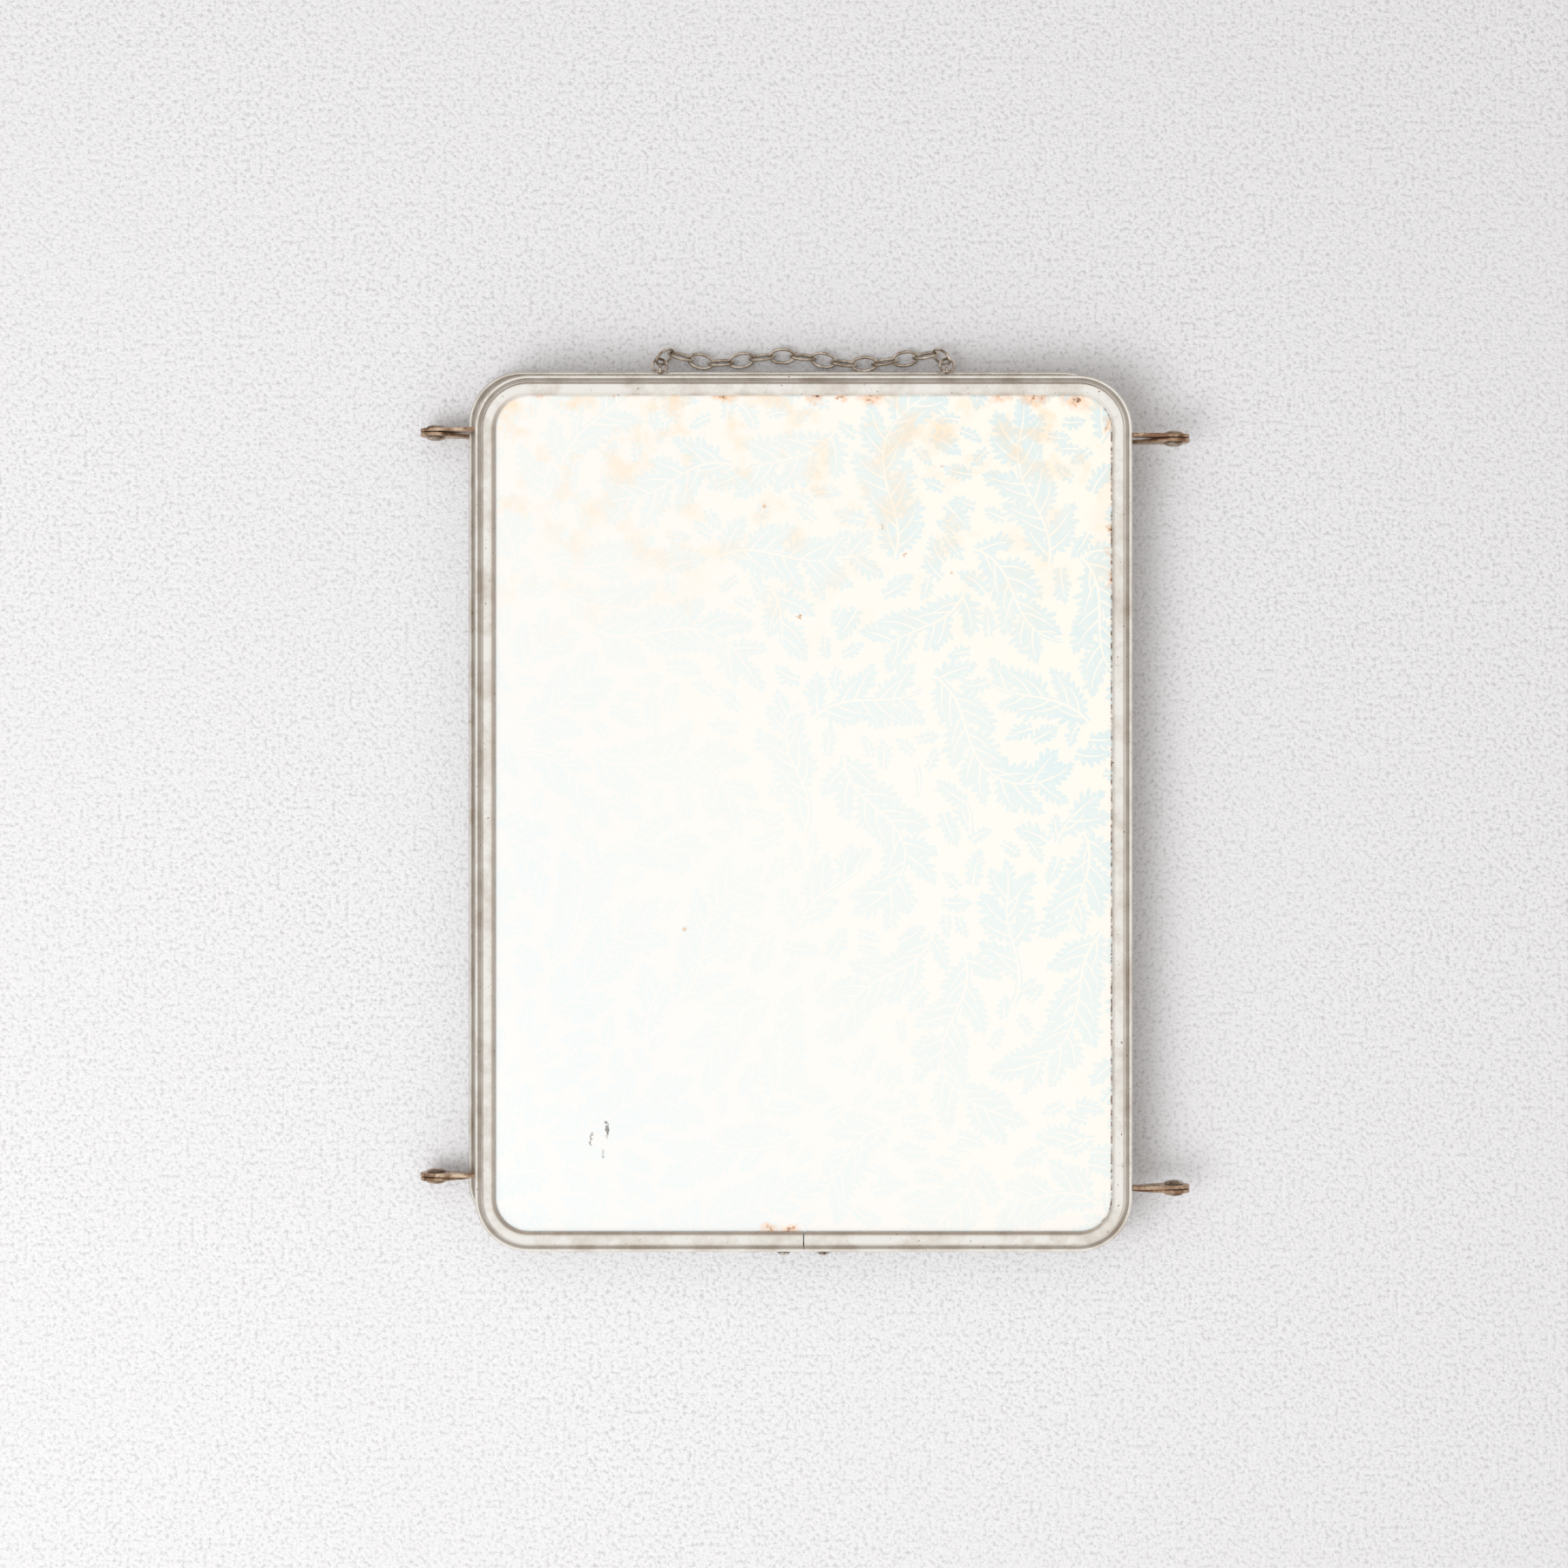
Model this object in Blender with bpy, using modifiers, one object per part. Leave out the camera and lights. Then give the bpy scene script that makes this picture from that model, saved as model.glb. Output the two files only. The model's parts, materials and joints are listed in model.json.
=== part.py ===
"""Folding vanity mirror of three framed leaves, folded shut and lying flat.

The centre leaf is in the middle of the stack. The right wing is folded over its glass, the left
wing is folded behind its back, and a hanging chain is hooked to the centre leaf's top wall.
X is to the right, Y runs up the leaves towards the chain, and the stack stands on Z = 0.
"""

import math

import bmesh
import bpy
import numpy as np
from mathutils import Matrix, Vector

MM = 0.001

# The leaves, which are all alike
LEAF_WIDTH = 225 * MM
LEAF_HEIGHT = 300 * MM
CORNER_RADIUS = 18.5 * MM
CORNER_STEPS = 5
STACK_GAP = 0.6 * MM
CLEARANCE = 0.3 * MM

# What a frame holds
GLASS_THICKNESS = 3 * MM
BOARD_THICKNESS = 1.2 * MM
TIN_THICKNESS = 0.4 * MM

# The moulded channel that frames a leaf
FLANGE_WIDTH = 7 * MM
SHEET = 0.6 * MM
WALL_HALF_HEIGHT = 2.5 * MM
BEAD_RADIUS = 0.65 * MM
FILLET_RADIUS = 0.3 * MM
FILLET_INWARD = 1.62 * MM
CREST_INWARD = 4.2 * MM
CREST_FLAT = 0.8 * MM
CROWN_RADIUS = 1.6 * MM
SLOPE_RADIUS = 3 * MM
CREST_ABOVE_LIP = 1 * MM
GLASS_EDGE_GAP = 0.5 * MM
SEAM_GAP = 0.45 * MM

# The joining plate and screws that close the frame's seam
JOINING_PLATE_LENGTH = 24 * MM
JOINING_PLATE_THICKNESS = 1 * MM
SCREW_SPACING = 13.6 * MM
SCREW_RADIUS = 0.8 * MM
SCREW_HEAD_RADIUS = 2.3 * MM
SCREW_HEAD_HEIGHT = 1.4 * MM
SCREW_TIP_PROUD = 0.7 * MM

# The riveted hinges
HINGE_PAST_CORNER = 2.5 * MM
LEFT_HINGES_UPWARD = 3 * MM
PIVOT_OUTWARD = 15 * MM
LEFT_WING_OUTWARD = 3.9 * MM
LEFT_WING_UPWARD = 3.6 * MM
ARM_THICKNESS = 1.2 * MM
ARM_EYE_RADIUS = 5.4 * MM
ARM_ROOT_HEIGHT = 5 * MM
CLENCH_WIDTH = 4 * MM
CLENCH_THICKNESS = 1.1 * MM
RIVET_RADIUS = 1.5 * MM
RIVET_HEAD_RADIUS = 3.35 * MM
RIVET_HEAD_HEIGHT = 1.1 * MM

# The hanging chain
EYELET_SPACING = 99 * MM
EYELET_RING_RADIUS = 1.95 * MM
EYELET_WIRE_RADIUS = 0.5 * MM
EYELET_SHANK_RADIUS = 0.7 * MM
EYELET_TAIL_RADIUS = 1.3 * MM
EYELET_TAIL_THICKNESS = 0.6 * MM
LINK_LENGTH = 10 * MM
LINK_WIDTH = 6 * MM
LINK_WIRE_RADIUS = 0.55 * MM
LINK_SLACK = 0.8 * MM
LINK_ARC_STEPS = 5
CHAIN_REACH = 12.6 * MM

# Levels and centres that follow from the sizes above
LIP_UNDERSIDE = (GLASS_THICKNESS + BOARD_THICKNESS + TIN_THICKNESS) / 2 + 2 * CLEARANCE
LIP_HEIGHT = LIP_UNDERSIDE + SHEET
HALF_DEPTH = LIP_HEIGHT + CREST_ABOVE_LIP
CHANNEL_HALF_HEIGHT = WALL_HALF_HEIGHT - SHEET
CHANNEL_DEPTH = CREST_INWARD - CREST_FLAT / 2 - CROWN_RADIUS + SHEET
EDGE_INWARD = CHANNEL_DEPTH + GLASS_EDGE_GAP
LEVEL_STEP = 2 * HALF_DEPTH + STACK_GAP
LEAF_Y = (SCREW_HEAD_HEIGHT - CHAIN_REACH) / 2
LEFT_CENTRE = Vector((-LEFT_WING_OUTWARD, LEAF_Y + LEFT_WING_UPWARD, HALF_DEPTH))
CENTRE_CENTRE = Vector((0, LEAF_Y, HALF_DEPTH + LEVEL_STEP))
RIGHT_CENTRE = Vector((0, LEAF_Y, HALF_DEPTH + 2 * LEVEL_STEP))
PIVOT_X = LEAF_WIDTH / 2 + PIVOT_OUTWARD
PIVOT_Z = {-1: LEVEL_STEP - STACK_GAP / 2, 1: 2 * LEVEL_STEP - STACK_GAP / 2}
SIDE_WORDS = {-1: "left", 1: "right"}
END_WORDS = {-1: "lower", 1: "upper"}
ARM_OFFSET = (ARM_THICKNESS + CLEARANCE) / 2
HINGE_SPACING = LEAF_HEIGHT - 2 * (CORNER_RADIUS + HINGE_PAST_CORNER)
TANG_HEIGHT = 2 * (CHANNEL_HALF_HEIGHT - 1.5 * CLEARANCE)
JOINING_PLATE_INWARD = SHEET + CLEARANCE
SCREW_TIP_INWARD = JOINING_PLATE_INWARD + JOINING_PLATE_THICKNESS + CLEARANCE + SCREW_TIP_PROUD
LINK_PITCH = LINK_LENGTH - 4 * LINK_WIRE_RADIUS - LINK_SLACK
EYELET_BEYOND = EYELET_RING_RADIUS + EYELET_WIRE_RADIUS + CLEARANCE
EYELET_Y = LEAF_Y + LEAF_HEIGHT / 2 + EYELET_BEYOND
EYELET_Z = CENTRE_CENTRE.z

# The chain's route as it lies: along the top edge, beyond it, and up from the table, in mm.
# Its ends are added at the eyelets.
CHAIN_ROUTE_MM = (
    (-50.2, 6.2, 9.8),
    (-49.9, 8.8, 6.6),
    (-47.4, 10.2, 4.4),
    (-43.2, 9.7, 3.2),
    (-37.0, 7.8, 2.9),
    (-29.0, 6.8, 2.9),
    (-21.0, 8.2, 2.9),
    (-12.0, 9.4, 2.9),
    (-2.0, 9.4, 2.9),
    (7.0, 8.2, 2.9),
    (15.0, 6.7, 2.9),
    (24.0, 6.8, 2.9),
    (33.0, 8.2, 2.9),
    (43.2, 9.7, 3.2),
    (47.4, 10.2, 4.4),
    (49.9, 8.8, 6.6),
    (50.2, 6.2, 9.8),
)


def clear_scene():
    for obj in list(bpy.data.objects):
        bpy.data.objects.remove(obj, do_unlink=True)


def new_collection(name):
    collection = bpy.data.collections.new(name)
    bpy.context.scene.collection.children.link(collection)
    return collection


def new_material(name, colour, metallic, roughness):
    material = bpy.data.materials.new(name)
    material.use_nodes = True
    shader = material.node_tree.nodes["Principled BSDF"]
    shader.inputs["Base Color"].default_value = (*colour, 1)
    shader.inputs["Metallic"].default_value = metallic
    shader.inputs["Roughness"].default_value = roughness
    return material


def nickel():
    return new_material("nickel_plated_brass", (0.62, 0.59, 0.54), 1, 0.32)


def tarnished_brass():
    return new_material("tarnished_brass", (0.45, 0.27, 0.15), 1, 0.42)


def chain_nickel():
    return new_material("tarnished_nickel_wire", (0.36, 0.33, 0.28), 1, 0.35)


def steel():
    return new_material("plated_steel", (0.5, 0.48, 0.45), 1, 0.35)


def silvered_glass():
    return new_material("silvered_glass", (0.85, 0.88, 0.88), 1, 0.03)


def greyboard():
    return new_material("greyboard", (0.33, 0.3, 0.26), 0, 0.9)


def printed_tin():
    return new_material("printed_tin", (0.93, 0.91, 0.85), 0, 0.35)


def object_from(name, bm, collection, material=None, location=(0, 0, 0)):
    """Finish a bmesh as an object, with its normals outwards and its round faces shaded smooth."""
    bmesh.ops.recalc_face_normals(bm, faces=bm.faces)
    mesh = bpy.data.meshes.new(name)
    bm.to_mesh(mesh)
    bm.free()
    mesh.shade_smooth()
    mesh.set_sharp_from_angle(angle=math.radians(35))
    obj = bpy.data.objects.new(name, mesh)
    obj.location = location
    collection.objects.link(obj)
    if material:
        mesh.materials.append(material)
    return obj


def as_cutter(obj):
    obj.hide_render = True
    obj.display_type = "WIRE"
    return obj


def add_box(bm, size, centre):
    matrix = Matrix.Translation(centre) @ Matrix.Diagonal((*size, 1))
    bmesh.ops.create_cube(bm, size=1, matrix=matrix)


def add_cylinder(bm, radius, length, centre, axis, sides=16):
    """A cylinder along X or Y, with its middle at the given centre."""
    quarter = math.radians(90)
    turn = Matrix.Rotation(quarter, 4, "Y") if axis == "X" else Matrix.Rotation(quarter, 4, "X")
    bmesh.ops.create_cone(
        bm,
        cap_ends=True,
        segments=sides,
        radius1=radius,
        radius2=radius,
        depth=length,
        matrix=Matrix.Translation(centre) @ turn,
    )


def boolean(obj, other, operation):
    modifier = obj.modifiers.new(operation.lower(), "BOOLEAN")
    modifier.operation = operation
    modifier.solver = "EXACT"
    modifier.object = other


def arc(centre, radius, start, end, steps):
    """Points on an arc, in degrees, both ends included."""
    angles = np.radians(np.linspace(start, end, steps + 1))
    return [(centre[0] + radius * math.cos(a), centre[1] + radius * math.sin(a)) for a in angles]


def moulding_profile():
    """The channel's section as (distance inward from the outer wall, height) points, closed."""
    rise = (CREST_INWARD - CREST_FLAT / 2, HALF_DEPTH - CROWN_RADIUS)
    fall = (CREST_INWARD + CREST_FLAT / 2, HALF_DEPTH - SLOPE_RADIUS)
    outer = arc((BEAD_RADIUS, WALL_HALF_HEIGHT), BEAD_RADIUS, 180, 20, 2)
    outer += arc((FILLET_INWARD, WALL_HALF_HEIGHT), FILLET_RADIUS, 150, 30, 1)
    outer += arc(rise, CROWN_RADIUS, 180, 90, 2)
    outer += arc(fall, SLOPE_RADIUS, 90, 50, 1)
    outer.append((FLANGE_WIDTH, LIP_HEIGHT))
    inner = [(FLANGE_WIDTH, LIP_UNDERSIDE)]
    inner += arc(fall, SLOPE_RADIUS - SHEET, 50, 90, 1)
    inner += arc(rise, CROWN_RADIUS - SHEET, 90, 180, 1)
    inner.append((CHANNEL_DEPTH, CHANNEL_HALF_HEIGHT))
    inner.append((SHEET, CHANNEL_HALF_HEIGHT))
    upper = outer + inner
    lower = [(inward, -height) for inward, height in reversed(upper)]
    return upper + lower


def swept_frame(name, centre, collection, material):
    """Carry the section round the leaf's outline, from one side of the bottom seam to the other."""
    half_width = LEAF_WIDTH / 2
    half_height = LEAF_HEIGHT / 2
    bm = bmesh.new()
    ring = [
        bm.verts.new((SEAM_GAP / 2, inward - half_height, height))
        for inward, height in moulding_profile()
    ]
    edges = [bm.edges.new(pair) for pair in zip(ring, ring[1:] + ring[:1])]
    bmesh.ops.contextual_create(bm, geom=edges)
    corner_x = half_width - CORNER_RADIUS
    corner_y = half_height - CORNER_RADIUS
    corners = ((corner_x, -corner_y), (corner_x, corner_y), (-corner_x, corner_y), (-corner_x, -corner_y))
    half_run = corner_x - SEAM_GAP / 2
    runs = ((half_run, 0), (0, 2 * corner_y), (-2 * corner_x, 0), (0, -2 * corner_y))
    for run, corner in zip(runs, corners):
        edges = extruded(bm, edges, (*run, 0))
        turned = bmesh.ops.spin(
            bm,
            geom=edges,
            cent=(*corner, 0),
            axis=(0, 0, 1),
            angle=math.radians(90),
            steps=CORNER_STEPS,
        )
        edges = [item for item in turned["geom_last"] if isinstance(item, bmesh.types.BMEdge)]
    edges = extruded(bm, edges, (half_run, 0, 0))
    bmesh.ops.contextual_create(bm, geom=edges)
    return object_from(name, bm, collection, material, centre)


def extruded(bm, edges, offset):
    """Extrude a ring of edges by an offset and return the new ring."""
    made = bmesh.ops.extrude_edge_only(bm, edges=edges)["geom"]
    verts = [item for item in made if isinstance(item, bmesh.types.BMVert)]
    bmesh.ops.translate(bm, verts=verts, vec=offset)
    moved = set(verts)
    return [
        item
        for item in made
        if isinstance(item, bmesh.types.BMEdge) and moved.issuperset(item.verts)
    ]


def frame_cutter(name, centre, arms, has_eyelets, cutters):
    """Holes for the seam screws, slots for the arms' tangs and holes for the eyelets' shanks."""
    half_width = LEAF_WIDTH / 2
    half_height = LEAF_HEIGHT / 2
    through = 2 * SHEET + CLEARANCE
    bm = bmesh.new()
    for side in (-1, 1):
        place = (side * SCREW_SPACING / 2, -half_height, 0)
        add_cylinder(bm, SCREW_RADIUS + CLEARANCE, 2 * through, place, "Y")
    slot = (2 * through, ARM_THICKNESS + 2 * CLEARANCE, TANG_HEIGHT + 2 * CLEARANCE)
    for side, arm_y in arms:
        add_box(bm, slot, (side * half_width, arm_y - centre.y, 0))
    if has_eyelets:
        for side in (-1, 1):
            place = (side * EYELET_SPACING / 2, half_height, 0)
            add_cylinder(bm, EYELET_SHANK_RADIUS + CLEARANCE, 2 * through, place, "Y")
    return as_cutter(object_from(name, bm, cutters, None, centre))


def plate(name, thickness, centre, collection, material):
    """A flat plate with rounded corners that sits inside the frame's channel."""
    half_width = LEAF_WIDTH / 2 - EDGE_INWARD
    half_height = LEAF_HEIGHT / 2 - EDGE_INWARD
    radius = CORNER_RADIUS - EDGE_INWARD
    outline = []
    for quarter, (sx, sy) in enumerate(((1, 1), (-1, 1), (-1, -1), (1, -1))):
        corner = (sx * (half_width - radius), sy * (half_height - radius))
        outline += arc(corner, radius, 90 * quarter, 90 * quarter + 90, CORNER_STEPS)
    curve = bpy.data.curves.new(name, "CURVE")
    curve.dimensions = "2D"
    curve.fill_mode = "BOTH"
    curve.extrude = thickness / 2
    spline = curve.splines.new("POLY")
    spline.points.add(len(outline) - 1)
    for point, (x, y) in zip(spline.points, outline):
        point.co = (x, y, 0, 1)
    spline.use_cyclic_u = True
    curve.materials.append(material)
    obj = bpy.data.objects.new(name, curve)
    obj.location = centre
    collection.objects.link(obj)
    return obj


def leaf_filling(leaf, centre, glass_side, collection, looks):
    """Glass, card and tin, stacked from the mirror side to the back of the leaf."""
    pieces = []
    level = LIP_UNDERSIDE
    layers = (
        ("mirror_glass", GLASS_THICKNESS, "glass"),
        ("backing_board", BOARD_THICKNESS, "board"),
        ("back_panel", TIN_THICKNESS, "tin"),
    )
    for layer, thickness, look in layers:
        level -= CLEARANCE
        middle = centre + Vector((0, 0, glass_side * (level - thickness / 2)))
        pieces.append(plate(f"{leaf}_{layer}", thickness, middle, collection, looks[look]))
        level -= thickness
    return pieces


def joining_plate(leaf, centre, collection, cutters, looks):
    """The strip behind the seam that both ends of the frame are screwed to."""
    inward = JOINING_PLATE_INWARD + JOINING_PLATE_THICKNESS / 2
    height = 2 * (CHANNEL_HALF_HEIGHT - CLEARANCE)
    middle = centre + Vector((0, inward - LEAF_HEIGHT / 2, 0))
    bm = bmesh.new()
    add_box(bm, (JOINING_PLATE_LENGTH, JOINING_PLATE_THICKNESS, height), (0, 0, 0))
    obj = object_from(f"{leaf}_joining_plate", bm, collection, looks["brass"], middle)
    bm = bmesh.new()
    for side in (-1, 1):
        place = (side * SCREW_SPACING / 2, 0, 0)
        add_cylinder(bm, SCREW_RADIUS + CLEARANCE, 3 * JOINING_PLATE_THICKNESS, place, "Y")
    holes = as_cutter(object_from(f"{leaf}_joining_plate_holes", bm, cutters, None, middle))
    boolean(obj, holes, "DIFFERENCE")
    return obj


def turned(name, profile, steps, collection, material):
    """A turned piece about its own Z axis, from a profile that runs down its outer side."""
    bm = bmesh.new()
    verts = [bm.verts.new((radius, 0, height)) for radius, height in profile]
    for pair in zip(verts, verts[1:]):
        bm.edges.new(pair)
    mesh = bpy.data.meshes.new(name)
    bm.to_mesh(mesh)
    bm.free()
    mesh.materials.append(material)
    obj = bpy.data.objects.new(name, mesh)
    collection.objects.link(obj)
    screw = obj.modifiers.new("turn", "SCREW")
    screw.axis = "Z"
    screw.steps = steps
    screw.render_steps = steps
    screw.use_merge_vertices = True
    screw.merge_threshold = 0.01 * MM
    screw.use_smooth_shade = True
    return obj


def dome(base, height, radius, steps):
    """A low dome's profile from its crown down to its rim, above a base level."""
    angles = np.radians(np.linspace(90, 0, steps + 1))
    return [(radius * math.cos(a), base + height * math.sin(a)) for a in angles]


def seam_screw(leaf, side, centre, collection, looks):
    """A round-headed screw through the bottom wall, its head outside."""
    head_base = CLEARANCE
    tip = -SCREW_TIP_INWARD
    profile = dome(head_base, SCREW_HEAD_HEIGHT - CLEARANCE, SCREW_HEAD_RADIUS, 3)
    profile[0] = (0, SCREW_HEAD_HEIGHT)
    profile += [(SCREW_RADIUS, head_base), (SCREW_RADIUS, tip), (0, tip)]
    name = f"{leaf}_seam_screw_{SIDE_WORDS[side]}"
    obj = turned(name, profile, 12, collection, looks["steel"])
    obj.location = centre + Vector((side * SCREW_SPACING / 2, -LEAF_HEIGHT / 2, 0))
    obj.rotation_euler = (math.radians(90), 0, 0)
    return obj


def hinge_y(side, end):
    """Where a hinge lies along Y: side is -1 for left, end is -1 for the lower one."""
    upward = LEFT_HINGES_UPWARD if side < 0 else 0
    return LEAF_Y + upward + end * HINGE_SPACING / 2


def hinge_arm(leaf_name, centre, side, arm_y, collection, cutters, looks):
    """A flat arm whose tang passes through the frame's wall and is clenched over inside."""
    end = 1 if arm_y > centre.y else -1
    name = f"{leaf_name}_arm_{SIDE_WORDS[side]}_{END_WORDS[end]}"
    eye_centre = (side * PIVOT_X, arm_y, PIVOT_Z[side])
    wall_x = centre.x + side * LEAF_WIDTH / 2
    root_x = wall_x + side * (CLEARANCE + ARM_THICKNESS / 2)
    bm = bmesh.new()
    add_cylinder(bm, ARM_EYE_RADIUS, ARM_THICKNESS, eye_centre, "Y", 20)
    add_box(bm, (ARM_THICKNESS, ARM_THICKNESS, ARM_ROOT_HEIGHT), (root_x, arm_y, centre.z))
    points = [vert.co.copy() for vert in bm.verts]
    bm.free()
    bm = bmesh.new()
    for point in points:
        bm.verts.new(point)
    bmesh.ops.convex_hull(bm, input=bm.verts)
    bmesh.ops.dissolve_limit(bm, angle_limit=math.radians(1), verts=bm.verts, edges=bm.edges)
    arm = object_from(name, bm, collection, looks["brass"])
    clench_x = wall_x - side * (SHEET + CLEARANCE + CLENCH_THICKNESS / 2)
    clench_y = arm_y - end * (CLENCH_WIDTH - ARM_THICKNESS) / 2
    tang_x = (root_x + clench_x) / 2
    bm = bmesh.new()
    add_box(bm, (abs(root_x - clench_x), ARM_THICKNESS, TANG_HEIGHT), (tang_x, arm_y, centre.z))
    tang = as_cutter(object_from(f"{name}_tang", bm, cutters))
    bm = bmesh.new()
    add_box(bm, (CLENCH_THICKNESS, CLENCH_WIDTH, TANG_HEIGHT), (clench_x, clench_y, centre.z))
    clench = as_cutter(object_from(f"{name}_clench", bm, cutters))
    bm = bmesh.new()
    add_cylinder(bm, RIVET_RADIUS + CLEARANCE, 3 * ARM_THICKNESS, eye_centre, "Y")
    eye = as_cutter(object_from(f"{name}_eye", bm, cutters))
    boolean(arm, tang, "UNION")
    boolean(arm, clench, "UNION")
    boolean(arm, eye, "DIFFERENCE")
    return arm


def pivot_rivet(side, end, collection, looks):
    """A rivet along Y through a pair of arms, with a domed head at both ends."""
    name = f"pivot_rivet_{SIDE_WORDS[side]}_{END_WORDS[end]}"
    grip = ARM_THICKNESS + 1.5 * CLEARANCE
    head = dome(grip, RIVET_HEAD_HEIGHT, RIVET_HEAD_RADIUS, 3)
    head[0] = (0, grip + RIVET_HEAD_HEIGHT)
    profile = head + [(RIVET_RADIUS, grip), (RIVET_RADIUS, -grip)]
    profile += [(radius, -height) for radius, height in reversed(head)]
    obj = turned(name, profile, 16, collection, looks["rivet"])
    obj.location = (side * PIVOT_X, hinge_y(side, end), PIVOT_Z[side])
    obj.rotation_euler = (math.radians(90), 0, 0)
    return obj


def chain_eyelet(side, collection, cutters, looks):
    """A wire ring outside the top wall on a shank that is riveted over inside."""
    name = f"chain_eyelet_{SIDE_WORDS[side]}"
    x = side * EYELET_SPACING / 2
    wall_y = LEAF_Y + LEAF_HEIGHT / 2
    bpy.ops.mesh.primitive_torus_add(
        location=(x, EYELET_Y, EYELET_Z),
        rotation=(0, math.radians(90), 0),
        major_radius=EYELET_RING_RADIUS,
        minor_radius=EYELET_WIRE_RADIUS,
        major_segments=16,
        minor_segments=8,
    )
    ring = bpy.context.object
    ring.name = name
    for holder in list(ring.users_collection):
        holder.objects.unlink(ring)
    collection.objects.link(ring)
    ring.data.materials.append(looks["chain"])
    ring.data.shade_smooth()
    tail_y = wall_y - SHEET - CLEARANCE - EYELET_TAIL_THICKNESS / 2
    shank_top = wall_y + CLEARANCE + EYELET_WIRE_RADIUS
    bm = bmesh.new()
    middle = (x, (shank_top + tail_y) / 2, EYELET_Z)
    add_cylinder(bm, EYELET_SHANK_RADIUS, shank_top - tail_y, middle, "Y", 12)
    shank = as_cutter(object_from(f"{name}_shank", bm, cutters))
    bm = bmesh.new()
    add_cylinder(bm, EYELET_TAIL_RADIUS, EYELET_TAIL_THICKNESS, (x, tail_y, EYELET_Z), "Y", 12)
    tail = as_cutter(object_from(f"{name}_tail", bm, cutters))
    boolean(ring, shank, "UNION")
    boolean(ring, tail, "UNION")
    return ring


def chain_route():
    """Close-spaced points on the smooth curve through the chain's route, end to end."""
    end_drop = Vector((0, 0.25, -0.3)) * MM
    top = LEAF_Y + LEAF_HEIGHT / 2
    half = EYELET_SPACING / 2
    points = [Vector((-half, EYELET_Y, EYELET_Z)) + end_drop]
    points += [Vector((x * MM, top + y * MM, z * MM)) for x, y, z in CHAIN_ROUTE_MM]
    points.append(Vector((half, EYELET_Y, EYELET_Z)) + end_drop)
    padded = [2 * points[0] - points[1], *points, 2 * points[-1] - points[-2]]
    route = []
    for before, start, end, after in zip(padded, padded[1:], padded[2:], padded[3:]):
        for t in np.linspace(0, 1, 24, endpoint=False):
            route.append(
                0.5
                * (
                    2 * start
                    + (end - before) * t
                    + (2 * before - 5 * start + 4 * end - after) * t**2
                    + (3 * start - before - 3 * end + after) * t**3
                )
            )
    route.append(points[-1])
    return np.array(route)


def chain_joints():
    """The points where one link hangs in the next, evenly spaced, for an odd number of links."""
    route = chain_route()
    lengths = np.linalg.norm(np.diff(route, axis=0), axis=1)
    along = np.concatenate([[0], np.cumsum(lengths)])
    pairs = round((along[-1] / LINK_PITCH - 1) / 2)
    stations = np.linspace(0, along[-1], 2 * pairs + 2)
    return [Vector([np.interp(s, along, route[:, k]) for k in range(3)]) for s in stations]


def link_curve(material):
    """One oval link of round wire, long in X and flat in XY."""
    curve = bpy.data.curves.new("chain_link", "CURVE")
    curve.dimensions = "3D"
    curve.bevel_depth = LINK_WIRE_RADIUS
    curve.bevel_resolution = 1
    radius = LINK_WIDTH / 2 - LINK_WIRE_RADIUS
    half_straight = LINK_LENGTH / 2 - LINK_WIRE_RADIUS - radius
    outline = arc((half_straight, 0), radius, -90, 90, LINK_ARC_STEPS)
    outline += arc((-half_straight, 0), radius, 90, 270, LINK_ARC_STEPS)
    spline = curve.splines.new("POLY")
    spline.points.add(len(outline) - 1)
    for point, (x, y) in zip(spline.points, outline):
        point.co = (x, y, 0, 1)
    spline.use_cyclic_u = True
    curve.materials.append(material)
    return curve


def chain_links(collection, looks):
    """Links along the route, each turned a quarter from the last, as a hanging chain's are."""
    joints = chain_joints()
    curve = link_curve(looks["chain"])
    links = []
    along = (joints[1] - joints[0]).normalized()
    normal = along.cross(Vector((1, 0, 0))).normalized()
    for index, (start, end) in enumerate(zip(joints, joints[1:])):
        heading = (end - start).normalized()
        normal = along.rotation_difference(heading) @ normal
        along = heading
        facing = along.cross(normal) if index % 2 else normal
        basis = Matrix((along, facing.cross(along), facing)).transposed().to_4x4()
        link = bpy.data.objects.new(f"chain_link_{index + 1:02d}", curve)
        link.matrix_world = Matrix.Translation((start + end) / 2) @ basis
        collection.objects.link(link)
        links.append(link)
    return links


def carried_by(name, place, pieces, collection):
    """An empty on a joint's axis, which carries the pieces that turn about it."""
    axis = bpy.data.objects.new(name, None)
    axis.location = place
    collection.objects.link(axis)
    for piece in pieces:
        piece.parent = axis
        piece.matrix_parent_inverse = Matrix.Translation(place).inverted()
    return axis


def leaf(name, centre, glass_side, arms, has_eyelets, collection, cutters, looks):
    """A frame with its seam hardware and its filling. Arms are (side, y) pairs."""
    frame = swept_frame(f"{name}_frame", centre, collection, looks["nickel"])
    holes = frame_cutter(f"{name}_frame_holes", centre, arms, has_eyelets, cutters)
    boolean(frame, holes, "DIFFERENCE")
    pieces = [frame, joining_plate(name, centre, collection, cutters, looks)]
    pieces += [seam_screw(name, side, centre, collection, looks) for side in (-1, 1)]
    return pieces + leaf_filling(name, centre, glass_side, collection, looks)


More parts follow.
